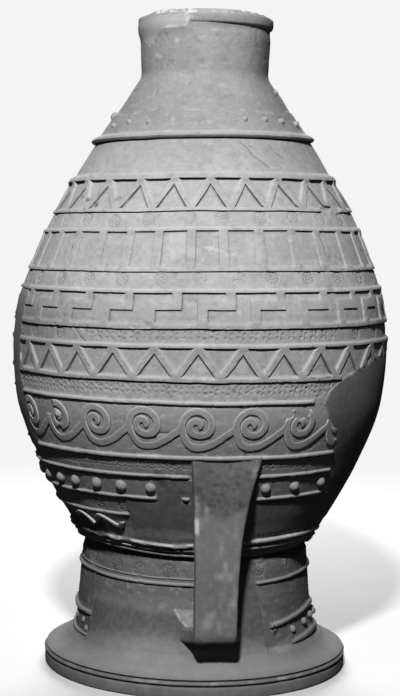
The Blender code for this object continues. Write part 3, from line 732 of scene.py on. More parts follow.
probe = relief(np.zeros(1), np.full(1, 0.8))
print("ridge H stands out by", round(1000 * float(probe[0][0]), 1), "mm at the front")

# %% The wander of lines drawn by hand
LINE_TILT_Z = [0.60, 0.70, 0.85, 1.06, 1.25]
LINE_TILT = [0.0, 0.2, 0.55, 1.15, 1.5]
STEM_SAG_TURN = [-90, -70, -40, 0, 30, 38, 52, 75, 95]
STEM_SAG_R = [0, 0, -0.004, -0.007, -0.007, -0.006, -0.004, 0, 0]
STEM_SAG_S = [0, -0.008, -0.005, 0, -0.006, -0.012, -0.003, 0.010, 0]
BELLY_SAG_TURN = [-150, -90, -40, -10, 30, 60, 90]
BELLY_SAG = [0, -0.005, -0.0045, -0.003, -0.003, -0.001, 0]
LEDGE_TURN = [-100, -60, -32, -10, 25, 70, 110]
LEDGE_SAG = [0.002, 0.0072, 0.0030, -0.0055, -0.001, 0.006, 0]
LEDGE_SPREAD = [0, -0.0062, -0.0062, -0.0062, 0, 0, 0]


def hand_drawn(theta, z):
    """Where a drawn line really runs: the tilt and sag of the ridges, and a small wander."""
    at = placed(theta, z, wall(z))
    turn = np.degrees(theta)
    free = window(z, 0.10, 0.16, 1.36, 1.41)
    dz = free * (0.0013 * noise(at, 0.170, 41) + 0.0008 * noise(at, 0.045, 42))
    dz += free * wall(z) * np.sin(theta) * np.tan(np.radians(np.interp(z, LINE_TILT_Z, LINE_TILT)))
    low = window(z, 0.085, 0.100, 0.150, 0.200)
    high = window(z, 0.150, 0.200, 0.270, 0.300)
    dz += low * np.interp(turn, STEM_SAG_TURN, STEM_SAG_S)
    dz += high * np.interp(turn, STEM_SAG_TURN, STEM_SAG_R)
    dz += np.interp(turn, BELLY_SAG_TURN, BELLY_SAG) * window(z, 0.37, 0.41, 0.55, 0.60)
    ledge = np.interp(turn, LEDGE_TURN, LEDGE_SAG)
    ledge += np.interp(turn, LEDGE_TURN, LEDGE_SPREAD) * np.clip((z - 0.328) / 0.017, -1, 1)
    dz += ledge * window(z, 0.285, 0.305, 0.355, 0.375)
    dx = free * (0.0012 * noise(at, 0.150, 43) + 0.0008 * noise(at, 0.040, 44))
    return theta + dx / wall(z), z + dz


probe = hand_drawn(np.radians([60.0]), np.array([RIDGES["A"][0]]))
print("at 60 degrees ridge A lies at", round(float(probe[1][0]), 4))

# %% [markdown]
# ## Points that follow the relief
# A regular grid fine enough for the sharp edges would be far too heavy. Here the wall is unrolled
# flat, points are set where the relief turns, in rows along each ridge, in four lines round each
# panel and loosely between, and Delaunay triangles join them. The front half has more points
# than the back, which is plainer. What crosses the back is laid twice, and each triangle is kept
# once, so the ring closes without a seam.

# %% Rows and panel lines
FRONT = math.radians(105)


def columns(size):
    """Angles of the points in a row: this far apart at the front and half as far again behind."""
    front = max(24, round(2 * FRONT / size))
    back = max(12, round((TURN - 2 * FRONT) / (1.55 * size)))
    angles = np.concatenate([np.linspace(-FRONT, FRONT, front, endpoint=False),
                             np.linspace(FRONT, TURN - FRONT, back, endpoint=False)])
    return np.where(angles >= math.pi, angles - TURN, angles)


def ridge_rows(low, high, size):
    """Heights of the rows in this stretch of wall: close on the ridges, none in the friezes."""
    rows = [low, high]
    for name, (foot, tall, _, kind, _) in RIDGES.items():
        offsets = [-0.0034, -0.0015, 0.0000, 0.04 * tall, 0.14 * tall, 0.30 * tall]
        if name in FRIEZES.values():
            offsets = [0.14 * tall, 0.30 * tall]
        if kind != "step":
            offsets += [0.58 * tall, 0.80 * tall, tall]
        rows += [foot + offset for offset in offsets if low + 0.0004 < foot + offset < high - 0.0004]
    return sorted(rows)


def panel_lines(name):
    """The lines round each panel of a frieze, as arrays of angle and height."""
    panels, pitch = frieze_panels(name)
    numbers, angles = repeats(name)
    lines = []
    for number in range(SET_OUT[name][0]):
        start = float(np.interp(number, numbers, angles))
        back = TURN * (start > math.pi)
        coarse = 1.5 if abs(start - back) > FRONT else 1.0
        for panel in panels:
            for distance in (0.0009, -0.0005, -0.0015, -0.0030):
                outline = moved_out(turned_right(panel), distance)
                points = np.array(stepped(outline, 0.0042 * coarse))
                around = np.interp(number + points[:, 0] / pitch, numbers, angles) - back
                lines.append(np.stack([around, points[:, 1]], axis=1))
    return lines


print("points in a row round the belly:", len(columns(0.0044 / BELLY_R)))

# %% Triangles over one stretch of wall
SEAM = 0.14


def loose_points(low, high, size, taken):
    """Points scattered on a loose grid, none of them near one that is already there."""
    length = unrolled([low, high])
    rows = max(2, round((length[1] - length[0]) / size))
    chance = np.random.default_rng(5)
    found = []
    for i in range(1, rows):
        z = float(np.interp(length[0] + (length[1] - length[0]) * i / rows, ALONG, LADDER))
        angles = columns(size / float(wall(z)))
        angles = angles + chance.uniform(-0.28, 0.28, len(angles)) * size / wall(z)
        heights = z + chance.uniform(-0.25, 0.25, len(angles)) * size
        heights = np.clip(heights, low + 0.001, high - 0.001)
        found.append(np.stack([wrapped(angles), heights], axis=1))
    found = np.concatenate(found)

    def cells(points, shift):
        """The number of the small box that each point falls in."""
        radius = float(wall((low + high) / 2))
        box = size * 0.62
        a = np.floor(points[:, 0] * radius / box + shift[0]).astype(np.int64)
        b = np.floor(unrolled(points[:, 1]) / box + shift[1]).astype(np.int64)
        return a * 1000003 + b

    for shift in ((0, 0), (0.5, 0.5), (0, 0.5), (0.5, 0)):
        found = found[~np.isin(cells(found, shift), cells(taken, shift))]
    return found


def skin(low, high, size, friezes, extra):
    """Points and triangles of the outside between two heights, as angle and height."""
    radius = float(wall((low + high) / 2))
    around = columns(size / float(max(wall(low), wall(high), radius)))
    rows = [np.stack([around, np.full(len(around), z)], axis=1) for z in ridge_rows(low, high, size)]
    lines = [line for name in friezes for line in panel_lines(name)]
    fixed = np.concatenate(rows + lines + [extra])
    fixed[:, 0] = wrapped(fixed[:, 0])
    groups = rows + [extra, loose_points(low, high, size, fixed)]
    flat, owner, edges, points = [], [], [], []
    count = 0
    chance = np.random.default_rng(7)
    for group, closed in [(g, False) for g in groups] + [(line, True) for line in lines]:
        ids = count + np.arange(len(group))
        count += len(group)
        points.append(group)
        shaken = np.stack([group[:, 0] * radius, unrolled(group[:, 1])], axis=1)
        inner = (group[:, 1] > low + 1e-9) & (group[:, 1] < high - 1e-9)
        shaken[inner] += chance.uniform(-2e-6, 2e-6, shaken[inner].shape)
        for side in (-1, 0, 1):
            angles = group[:, 0] + side * TURN
            seen = (angles > -math.pi - SEAM) & (angles < math.pi + SEAM)
            if not seen.any():
                continue
            if closed:
                seen[:] = True
                start = len(flat)
                edges += [(start + i, start + (i + 1) % len(group)) for i in range(len(group))]
            flat += [Vector((x + side * TURN * radius, y)) for x, y in shaken[seen]]
            owner += list(ids[seen])
    result = delaunay_2d_cdt(flat, edges, [], 0, 1e-9, True)
    made, triangles, came_from = result[0], result[2], result[3]
    if len(made) != len(flat):
        print("lines met:", len(made) - len(flat), "points more than planned")
    owner = np.array([owner[ids[0]] if ids else -1 for ids in came_from])
    middle = np.array([v.x for v in made])[np.array(triangles)].mean(axis=1)
    triangles = np.array(triangles)[(middle >= -math.pi * radius) & (middle < math.pi * radius)]
    triangles = owner[triangles]
    whole = (triangles != np.roll(triangles, 1, axis=1)).all(axis=1)
    return np.concatenate(points), triangles[whole & (triangles >= 0).all(axis=1)]


# %% [markdown]
# ## Each stretch becomes a closed ring of clay
# A stretch of wall is a real piece of clay 30 mm thick, so the skin gets the inside of the hollow
# behind it and flat rims above and below. The stretches are cut in the dark line under a ridge,
# where no join shows.

# %% Objects and their masks
def linked(name, data):
    """A new object in the scene."""
    piece = bpy.data.objects.new(name, data)
    bpy.context.scene.collection.objects.link(piece)
    return piece


def masked(mesh, **masks):
    """The masks stored on the points of a mesh."""
    for label, values in masks.items():
        layer = mesh.attributes.new(label, "FLOAT", "POINT")
        layer.data.foreach_set("value", np.asarray(values, np.float32))


def shown(name, mesh, sharp=62):
    """An object for a finished mesh, smooth but for its sharp edges."""
    mesh.shade_smooth()
    mesh.set_sharp_from_angle(angle=math.radians(sharp))
    print(name, len(mesh.polygons), "faces")
    return linked(name, mesh)


# %% One closed ring
HOLLOW_COLUMNS = 120


def zipped(low, high):
    """Triangles between two rings of (angle, point number), each sorted by angle."""
    faces = []
    i = j = 0
    while i < len(low) or j < len(high):
        a, b = low[i % len(low)], high[j % len(high)]
        next_low = low[(i + 1) % len(low)][0] + (TURN if i + 1 >= len(low) else 0)
        next_high = high[(j + 1) % len(high)][0] + (TURN if j + 1 >= len(high) else 0)
        if j >= len(high) or (i < len(low) and next_low <= next_high):
            faces.append((a[1], low[(i + 1) % len(low)][1], b[1]))
            i += 1
        else:
            faces.append((a[1], high[(j + 1) % len(high)][1], b[1]))
            j += 1
    return faces


def wall_piece(name, low, high, size, friezes, extra):
    """One closed ring of the jar's wall between two heights."""
    flat, triangles = skin(low, high, size, friezes, extra)
    theta, z = flat[:, 0], flat[:, 1]
    height, dirt, rubbed, plaster = relief(theta, z)
    radius = np.minimum(wall(z) + height, REACH)
    around, level = hand_drawn(theta, z)
    outer = placed(around, level, radius)
    count = len(outer)
    inner_z = np.linspace(max(low, 0.060), high, max(2, round((high - low) / 0.03)))
    many = HOLLOW_COLUMNS
    angles = np.linspace(-math.pi, math.pi, many, endpoint=False)
    inner = [placed(angles, np.full(many, h), float(inside(h))) for h in inner_z]
    faces = triangles.tolist()
    last = count + (len(inner_z) - 1) * many
    for start in range(count, last, many):
        for i in range(many):
            a, b = start + i, start + (i + 1) % many
            faces.append((b, a, a + many, b + many))
    for edge, start, upward in ((low, count, False), (high, last, True)):
        ring = np.where(np.abs(z - edge) < 1e-9)[0]
        turned = np.mod(theta[ring] + math.pi, TURN)
        ring = [(turned[i], int(ring[i])) for i in np.argsort(turned)]
        hollow = [(angle + math.pi, start + i) for i, angle in enumerate(angles)]
        faces += zipped(ring, hollow) if upward else zipped(hollow, ring)
    points = np.concatenate([outer] + inner)
    blank = np.zeros(len(points) - count)
    mesh = bpy.data.meshes.new(name)
    mesh.from_pydata(points.tolist(), [], faces)
    mesh.validate()
    masks = {"dirt": dirt, "rubbed": rubbed, "plaster": plaster}
    masked(mesh, **{label: np.concatenate([mask, blank]) for label, mask in masks.items()})
    return shown(name, mesh)


print("the mouth is", 2 * MOUTH_R, "wide")

# %% [markdown]
# ## Bands with pressed stamps
# Between the friezes run narrow bands that were stamped while the clay was soft: rosettes with
# eight petals, and small crosses set so close that they make a lattice. Their pattern is only a
# millimetre deep, so the skin needs points much closer together there: rings of points round
# each rosette, and fine rows through the lattices.

# %% Where each stamp was pressed
def whole_row(known, count, z):
    """The stamps seen at the front, as angles and heights, and the rest of the row at even steps."""
    known = sorted(known)
    start, end = known[-1][0], known[0][0] + 360
    parts = max(2, round((end - start) / (360 / count)))
    rest = [(start + (end - start) * i / parts, z) for i in range(1, parts)]
    return [(in_turn(a), level) for a, level in known + rest]


# Rosettes seen at the front, how many go round, the height of the others, and their radius
ROSETTE_ROWS = {
    "upright_band": ([(-32.7, 1.075), (-19.3, 1.077), (-4.7, 1.079), (7.1, 1.080), (20.9, 1.080),
                      (34.1, 1.081)], 27, 1.079, 0.0150),
    "key_band": ([(-62, 0.944), (-49, 0.945), (-36.4, 0.945), (-24.6, 0.945), (-12.2, 0.946),
                  (-0.5, 0.946), (11.7, 0.946), (22.0, 0.948), (34.5, 0.948), (47, 0.948),
                  (60, 0.947)], 30, 0.946, 0.0140),
    "low_zigzag": ([(-80.0, 0.823), (-58.3, 0.824), (-45.0, 0.824), (52.3, 0.824),
                    (64.0, 0.823)], 28, 0.824, 0.0128),
    "low_body": ([(-53, 0.430), (-39.5, 0.430), (-28.2, 0.430)], 30, 0.430, 0.0130),
    "stem": ([(-59.9, 0.274), (-41.7, 0.276), (-27.9, 0.275), (-13.1, 0.276), (31.6, 0.278),
              (49.3, 0.281)], 24, 0.277, 0.0160),
}
ROSETTES = {
    name: (whole_row(known, count, z), radius)
    for name, (known, count, z, radius) in ROSETTE_ROWS.items()
}
# How many crosses go round, the first one's angle, height, radius, and where the row runs
CROSSES = {
    "low_zigzag": (95, 0.3, 0.8235, 0.0132, -31, 44),
    "spiral_band": (106, 0.8, 0.7050, 0.0132, -180, 180),
    "low_body": (140, 0.0, 0.5350, 0.0102, -180, 180),
}
# Lower and upper height of the fine points, their distance, and where they run
LATTICES = {
    "low_zigzag": (0.8105, 0.8360, 0.0021, -33, 46),
    "spiral_band": (0.6900, 0.7195, 0.0021, -180, 180),
    "low_body": (0.5215, 0.5480, 0.0021, -180, 180),
}

print(sum(len(spots) for spots, _ in ROSETTES.values()), "rosettes to press")


# %% Close points for the stamps and cracks
def lattice_points(low, high, size, start, end):
    """Staggered rows of points between two heights and two angles in degrees."""
    rows = max(2, round((high - low) / (0.87 * size)))
    found = []
    for i in range(rows + 1):
        z = low + (high - low) * i / rows
        step = size / float(wall(z))
        angles = wrapped(columns(step) + (i % 2) * 0.5 * step)
        angles = angles[(angles >= math.radians(start)) & (angles <= math.radians(end))]
        found.append(np.stack([angles, np.full(len(angles), z)], axis=1))
    return np.concatenate(found)


def rosette_points(spots, size):
    """Rings of points round each stamp."""
    found = []
    for angle, z in spots:
        radius = float(wall(z))
        lean = float(lean_of(z))
        for ring in range(1, 10):
            out = size * ring / 8.6
            turns = np.linspace(0, TURN, 8 + 4 * min(ring, 6), endpoint=False) + 0.3 * ring
            theta = wrapped(math.radians(angle) + out * np.cos(turns) / radius)
            found.append(np.stack([theta, z + out * np.sin(turns) / math.hypot(1, lean)], axis=1))
    return np.concatenate(found)


CRACK_STEP = 0.0024


def crack_points(step):
    """Three rows of points along every crack."""
    found = []
    for line in CRACKS:
        for a, b in zip(line, line[1:]):
            radius = float(wall((a[1] + b[1]) / 2))
            dx, dz = math.radians(b[0] - a[0]) * radius, b[1] - a[1]
            length = math.hypot(dx, dz)
            parts = max(2, round(length / step))
            for share in np.arange(parts) / parts:
                for aside in CRACK_ROWS:
                    x = share * dx - aside * dz / length
                    y = share * dz + aside * dx / length
                    found.append((math.radians(a[0]) + x / radius, a[1] + y))
    return np.array(found)


def close_points(name):
    """All the close points that one stretch of wall needs."""
    parts = [crack_points(CRACK_STEP)]
    if name in ROSETTES:
        parts.append(rosette_points(*ROSETTES[name]))
    if name in LATTICES:
        parts.append(lattice_points(*LATTICES[name]))
    return np.concatenate(parts)


print({name: len(close_points(name)) for name in LATTICES})

# %% The wall from the foot to the neck
STRETCHES = {
    "stem": (FOOT_EDGE, 0.3035, 0.0046, ()),
    "low_body": (0.3035, 0.5490, 0.0052, ()),
    "spiral_band": (0.5490, 0.7210, 0.0048, ()),
    "low_zigzag": (0.7210, 0.8370, 0.0044, ("I",)),
    "key_band": (0.8370, 0.9620, 0.0044, ("G",)),
    "upright_band": (0.9620, 1.0950, 0.0044, ("E",)),
    "high_zigzag": (1.0950, 1.2620, 0.0042, ("C",)),
    "shoulder": (1.2620, BODY_TOP, 0.0042, ()),
    "neck": (BODY_TOP, NECK_TOP, 0.0038, ()),
}
walls = {}
for name, (low, high, size, friezes) in STRETCHES.items():
    extra = close_points(name)
    extra = extra[(extra[:, 1] > low + 0.001) & (extra[:, 1] < high - 0.001)]
    walls[name] = wall_piece(name, low, high, size, friezes, extra)

# %% [markdown]
# ## One helper for every node
# Geometry Nodes and materials are both trees of nodes. This helper adds one node, sets its
# settings, and either links each input or sets its value.

# %% Adding a node
def add(tree, kind, inputs=None, **settings):
    """A node with its settings, its inputs linked to sockets or set to values."""
    node = tree.nodes.new(kind)
    for name, value in settings.items():
        setattr(node, name, value)
    for key, value in (inputs or {}).items():
        if isinstance(value, bpy.types.NodeSocket):
            tree.links.new(value, node.inputs[key])
        else:
            node.inputs[key].default_value = value
    return node


def feed(tree, kind, inputs=None, **settings):
    """The first output of a new node, ready to feed the next one."""
    return add(tree, kind, inputs, **settings).outputs[0]


# %% Geometry Nodes trees
def calculator(tree):
    """A short way to write a sum with a node of this tree."""

    def calculate(operation, *values):
        return feed(tree, "ShaderNodeMath", dict(enumerate(values)), operation=operation)

    return calculate


def new_tree(name, inputs):
    """A Geometry Nodes tree with named inputs; the first is always the geometry."""
    tree = bpy.data.node_groups.new(name, "GeometryNodeTree")
    tree.interface.new_socket("Geometry", in_out="INPUT", socket_type="NodeSocketGeometry")
    for label, kind in inputs.items():
        tree.interface.new_socket(label, in_out="INPUT", socket_type="NodeSocket" + kind)
    tree.interface.new_socket("Geometry", in_out="OUTPUT", socket_type="NodeSocketGeometry")
    return tree, add(tree, "NodeGroupInput").outputs


def uneven(tree, geometry, seed, amount, scale, detail=2.0):
    """The geometry with its points shifted a little by noise in space."""
    wave = add(tree, "ShaderNodeTexNoise", {"Scale": scale, "Detail": detail, "W": seed},
               noise_dimensions="4D")
    centred = feed(tree, "ShaderNodeVectorMath", {0: wave.outputs["Color"], 1: (0.5, 0.5, 0.5)},
                   operation="SUBTRACT")
    shift = feed(tree, "ShaderNodeVectorMath", {0: centred, "Scale": amount}, operation="SCALE")
    return feed(tree, "GeometryNodeSetPosition", {"Geometry": geometry, "Offset": shift})


def finish_tree(tree, geometry, material):
    """Realizes the geometry, sets its material and ends the tree."""
    real = feed(tree, "GeometryNodeRealizeInstances", {"Geometry": geometry})
    dressed = feed(tree, "GeometryNodeSetMaterial", {"Geometry": real, "Material": material})
    add(tree, "NodeGroupOutput", {"Geometry": dressed})
    print(tree.name, len(tree.nodes), "nodes")
    return tree


def grown(tree, source, values):
    """The plain mesh that a tree makes from a mesh."""
    carrier = linked("carrier", source)
    nodes = carrier.modifiers.new("nodes", "NODES")
    nodes.node_group = tree
    for item in tree.interface.items_tree:
        if item.in_out == "INPUT" and item.name in values:
            nodes[item.identifier] = values[item.name]
    graph = bpy.context.evaluated_depsgraph_get()
    evaluated = carrier.evaluated_get(graph)
    made = bpy.data.meshes.new_from_object(evaluated, preserve_all_data_layers=True, depsgraph=graph)
    carrier.modifiers.remove(nodes)
    bpy.data.objects.remove(carrier)
    return made


# %% [markdown]
# ## Foot and lip: a profile carried round
# The disc foot and the rolled lip were turned, so each is one profile carried round the axis. The
# tree lays a grid, takes each row's radius and height from the profile's points, and turns the
# columns round the jar. A little noise in space keeps the circle from looking machined.

# %% The turning tree
def turning_tree():
    """Carries a line of points (radius, 0, height) round the axis."""
    tree, given = new_tree("turned profile", {
        "Around": "Int", "Unevenness": "Float", "Size": "Float", "Seed": "Float", "Material": "Material"})
    length = feed(tree, "GeometryNodeAttributeDomainSize", {"Geometry": given["Geometry"]},
                  component="MESH")
    calculate = calculator(tree)
    columns_up = calculate("ADD", given["Around"], 1.0)
    grid = feed(tree, "GeometryNodeMeshGrid",
                {"Size X": 1.0, "Size Y": 1.0, "Vertices X": length, "Vertices Y": columns_up})
    number = feed(tree, "GeometryNodeInputIndex")
    row = calculate("FLOOR", calculate("DIVIDE", number, columns_up))
    column = calculate("MODULO", number, columns_up)
    angle = calculate("MULTIPLY", calculate("DIVIDE", column, given["Around"]), TURN)
    place = feed(tree, "GeometryNodeInputPosition")
    spot = feed(tree, "GeometryNodeSampleIndex",
                {"Geometry": given["Geometry"], "Value": place, "Index": row},
                data_type="FLOAT_VECTOR", domain="POINT")
    spun = feed(tree, "ShaderNodeVectorRotate", {"Vector": spot, "Angle": angle}, rotation_type="Z_AXIS")
    laid = feed(tree, "GeometryNodeSetPosition", {"Geometry": grid, "Position": spun})
    closed = feed(tree, "GeometryNodeMergeByDistance", {"Geometry": laid, "Distance": 1e-5})
    worn = uneven(tree, closed, given["Seed"], given["Unevenness"], given["Size"], 3.0)
    return finish_tree(tree, worn, given["Material"])


TURNED = turning_tree()


# %% Lines and profiles
def line_mesh(name, paths, step):
    """A mesh of bare lines through points, with points at least every step."""
    points, edges = [], []
    for path in paths:
        start = len(points)
        for a, b in zip(path, path[1:]):
            parts = max(1, math.ceil(math.dist(a[:3], b[:3]) / step)) if step else 1
            for k in range(parts):
                points.append(tuple(p + (q - p) * k / parts for p, q in zip(a, b)))
        points.append(tuple(path[-1]))
        edges += [(i, i + 1) for i in range(start, len(points) - 1)]
    mesh = bpy.data.meshes.new(name)
    mesh.from_pydata([p[:3] for p in points], edges, [])
    if len(points[0]) > 3:
        masked(mesh, thick=[p[3] for p in points])
    return mesh


def outward(mesh):
    """All faces of a closed mesh turned outwards."""
    shape = bmesh.new()
    shape.from_mesh(mesh)
    bmesh.ops.recalc_face_normals(shape, faces=shape.faces)
    shape.to_mesh(mesh)
    shape.free()


FOOT_PROFILE = [
    (0, 0), (SLOPE_R, 0), (FOOT_R - 0.0006, 0.0014), (FOOT_R, 0.0045), (FOOT_R + 0.0003, 0.0130),
    (FOOT_R, 0.0215), (FOOT_R - 0.0006, 0.0250), (FOOT_R - 0.0020, 0.0266), (FOOT_R - 0.0060, 0.0280),
    (FOOT_R - 0.0055, 0.0296), (FOOT_R - 0.0006, 0.0310), (FOOT_R + 0.0016, 0.0335),
    (FOOT_R + 0.0014, 0.0362), (FOOT_R - 0.0010, 0.0384), (FOOT_R - 0.0065, 0.0396),
    (FOOT_R - 0.0080, 0.0412), (FOOT_R - 0.0085, 0.0436), (SLOPE_R - 0.006, 0.0452), (0.2400, 0.0597),
    (HOLLOW_LOW_R[0], FLOOR), (0, FLOOR),
]
LIP_PROFILE = [
    (MOUTH_R, NECK_TOP - 0.0004), (0.1574, NECK_TOP - 0.0004), (0.1600, NECK_TOP + 0.0010),
    (0.1617, NECK_TOP + 0.0045), (LIP_R - 0.0002, NECK_TOP + 0.0120),
    (LIP_R - 0.0005, NECK_TOP + 0.0205), (LIP_R - 0.0028, NECK_TOP + 0.0255),
    (LIP_R - 0.0050, NECK_TOP + 0.0290), (LIP_R - 0.0085, LIP_TOP - 0.0006), (LIP_R - 0.0120, LIP_TOP),
    (0.1360, LIP_TOP), (0.1315, LIP_TOP - 0.0014), (0.1290, LIP_TOP - 0.0050),
    (MOUTH_R, NECK_TOP - 0.0004),
]


def turned_mesh(name, profile, step, around, unevenness, seed):
    """A profile of radius and height carried round the axis."""
    line = line_mesh(name + "_profile", [[(r, 0.0, z) for r, z in profile]], step)
    values = {"Around": around, "Unevenness": unevenness, "Size": 14.0, "Seed": seed}
    return grown(TURNED, line, values)


print(len(FOOT_PROFILE), "points in the foot's profile and", len(LIP_PROFILE), "in the lip's")


# %% Knocks
def vertex_values(mesh, label="co"):
    """Places or normals of a mesh's points, as rows of three."""
    values = np.empty(len(mesh.vertices) * 3)
    mesh.vertices.foreach_get(label, values)
    return values.reshape(-1, 3)


def turn_of(places):
    """The angle of each place in degrees, from the front towards the right."""
    return np.degrees(np.arctan2(places[:, 0], -places[:, 1]))


def knocked(mesh, edge_z, seed, most):
    """Places with chips out of the edge near one height, and how chipped each one is."""
    places = vertex_values(mesh)
    radius = np.hypot(places[:, 0], places[:, 1])
    near = np.exp(-(((places[:, 2] - edge_z) / 0.006) ** 2)) * ramp(0.10, 0.12, radius)
    chip = ramp(0.30, 0.75, noise(places, 0.022, seed)) * near
    small = ramp(0.45, 0.80, noise(places, 0.008, seed + 1)) * near
    scale = 1 - (most * chip + 0.3 * most * small) / np.maximum(radius, 0.05)
    places[:, :2] *= scale[:, None]
    places[:, 2] -= np.where(places[:, 2] > edge_z, 0.4 * most * chip, 0)
    return places, np.clip(chip + small, 0, 1)


# %% The foot
foot_mesh = turned_mesh("foot", FOOT_PROFILE, 0.014, 480, 0.0014, 3.0)
places, chips = knocked(foot_mesh, 0.0350, 51, 0.0022)
# Darker in the groove of the rim, as dirt and painted shade, and painted shade under the overhanging edge
# of the slope and on the sides turned from the lamp.
shade_in_grooves = np.exp(-(((places[:, 2] - 0.0288) / 0.0016) ** 2)) + ramp(0.0384, 0.0400, places[:, 2])
shade_in_grooves *= ramp(0.350, 0.355, np.hypot(places[:, 0], places[:, 1]))
foot_shade = 0.10 * ramp(20, 55, np.abs(turn_of(places)))
places[:, 2] = np.maximum(places[:, 2], 0)
foot_mesh.vertices.foreach_set("co", places.ravel())
foot_shade = np.clip(shade_in_grooves + foot_shade, 0, 1)
masked(foot_mesh, dirt=foot_shade, rubbed=0.3 * chips, plaster=np.full(len(places), 0.9))
outward(foot_mesh)
foot = shown("foot", foot_mesh, 50)

# %% The lip, and smears of plaster on it: strength, and a line of angles and heights
LIP_SMEARS = [
    (0.95, [(-17.4, 1.5525), (-13.4, 1.5570), (-8.2, 1.5595)]),
    (0.45, [(-16.8, 1.5465), (-11.0, 1.5455)]),
    (0.90, [(-15.8, 1.5400), (-13.9, 1.5310)]),
]
lip_mesh = turned_mesh("lip", LIP_PROFILE, 0.0030, 420, 0.0012, 8.0)
places, chips = knocked(lip_mesh, LIP_TOP - 0.002, 61, 0.0050)
turn = turn_of(places)
stretched = places * (1, 1, 0.2)
jag = ramp(0.0, 0.7, noise(stretched, 0.0085, 64) + 0.7 * noise(stretched, 0.030, 65))
out = np.hypot(places[:, 0], places[:, 1])
top = ramp(LIP_TOP - 0.012, LIP_TOP - 0.001, places[:, 2]) * ramp(0.140, 0.150, out)
places[:, 2] = np.clip(places[:, 2] - 0.0085 * jag * top, 0, LIP_TOP)
flush = window(turn, -120, -90, -18, -9) * (out > 0.150) * ramp(1.5460, 1.5430, places[:, 2])
places[:, :2] *= (1 + flush * np.maximum(LIP_R - out, 0) / np.maximum(out, 0.1))[:, None]
broken = np.maximum(window(turn, -120, -95, -62, -44), 0.7 * window(turn, 50, 66, 95, 120))
places[:, 2] -= 0.0060 * broken * top
lip_mesh.vertices.foreach_set("co", places.ravel())
rough = 2.0 * noise(places, 0.020, 62) + 1.0 * noise(places, 0.006, 63)
low = np.interp(turn + rough, LIP_PATCH_TURN, LIP_PATCH_LOW, left=2, right=2)
patch = ramp(-0.0012, 0.0012, places[:, 2] - low)
patch *= 1 - ramp(1.5510, 1.5545, places[:, 2] + 0.0012 * rough)
rim = np.clip(4 * patch * (1 - patch), 0, 1)
wander = 0.0018 * noise(places, 0.007, 67)
smear = np.zeros(len(places))
for strength, line in LIP_SMEARS:
    away = line_distance(line, np.radians(turn), places[:, 2]) + wander
    smear = np.maximum(smear, strength * (1 - ramp(0.0012, 0.0040, away)))
white = ramp(-0.1, 0.4, noise(places, 0.009, 66)) * top * window(turn, -52, -46, -14, -8)
worn = [0.6 * chips, 0.5 * jag * top, 1.5 * white, patch * (0.12 + 0.88 * rim), smear]
worn = np.clip(np.maximum.reduce(worn), 0, 1)
# The lip's right side, turned from the lamp, is painted darker as shade.
masked(lip_mesh, dirt=0.3 * ramp(30, 75, turn), rubbed=worn, plaster=patch)
outward(lip_mesh)
lip = shown("lip", lip_mesh, 50)

# %% [markdown]
# ## The strap handle
# The handle is a flat strap that leaves the belly, drops straight down and bends back into the
# stem. It is lofted: a rounded oblong is carried through the same stations as in the solid, with
# close rings so that it bends softly. The top is left pitted, and the lower part is smoother.

# %% Stations of the handle
HANDLE_TURN = math.radians(7.1)
THICK = 0.034
ROOT = STEM_TOP + 0.2232 * (BODY_TOP - STEM_TOP)
BEND = 0.124
FRONT_R = STEM_R + 0.108
ROUNDED = 0.007


def handle_stations():
    """Middle of the strap: radius, height, lean, width and sideways shift."""
    top = float(wall(ROOT))
    half = THICK / 2
    drop = ROOT - BEND
    strap = [(top + 0.001, -0.01, 0), (top + 0.002, 0.08, 0), (FRONT_R + 0.020, 0.17, 6),
             (FRONT_R + 0.011, 0.30, 4), (FRONT_R + 0.005, 0.50, 2), (FRONT_R + 0.001, 0.72, 2),
             (FRONT_R, 1 - 2.1 * half / drop, 0)]
    stations = []
    for radius, down, lean in strap:
        spread = (1 - down) ** 3
        stations.append((radius - half, ROOT - down * drop, lean, 0.097 + 0.061 * spread, 0.014 * spread))
    stations += [(FRONT_R - 1.25 * half, BEND + 1.15 * half, 45, 0.097, 0),
                 (FRONT_R - 2.6 * half, BEND + 0.95 * half, 85, 0.102, 0),
                 (STEM_R + 0.0324, BEND + 0.6 * half, 80, 0.118, 0),
                 (STEM_R - 0.009, BEND + 0.1 * half, 80, 0.150, 0)]
    return np.array(stations)


print("the strap starts at", round(ROOT, 3), "and bends at", BEND)


# %% Its section, and the strap itself
def oblong(across, through):
    """Places round a rounded oblong, -1 to 1 both ways, and which way its rounding points."""
    side = np.linspace(-1, 1, across)
    end = np.linspace(-1, 1, through)
    corner = np.radians([22.5, 45, 67.5])
    around = [(x, 1, 0, 1) for x in side]
    around += [(1, 1, math.sin(a), math.cos(a)) for a in corner]
    around += [(1, y, 1, 0) for y in end[::-1]]
    around += [(1, -1, math.cos(a), -math.sin(a)) for a in corner]
    around += [(x, -1, 0, -1) for x in side[::-1]]
    around += [(-1, -1, -math.sin(a), -math.cos(a)) for a in corner]
    around += [(-1, y, -1, 0) for y in end]
    around += [(-1, 1, -math.cos(a), math.sin(a)) for a in corner]
    return np.array(around)


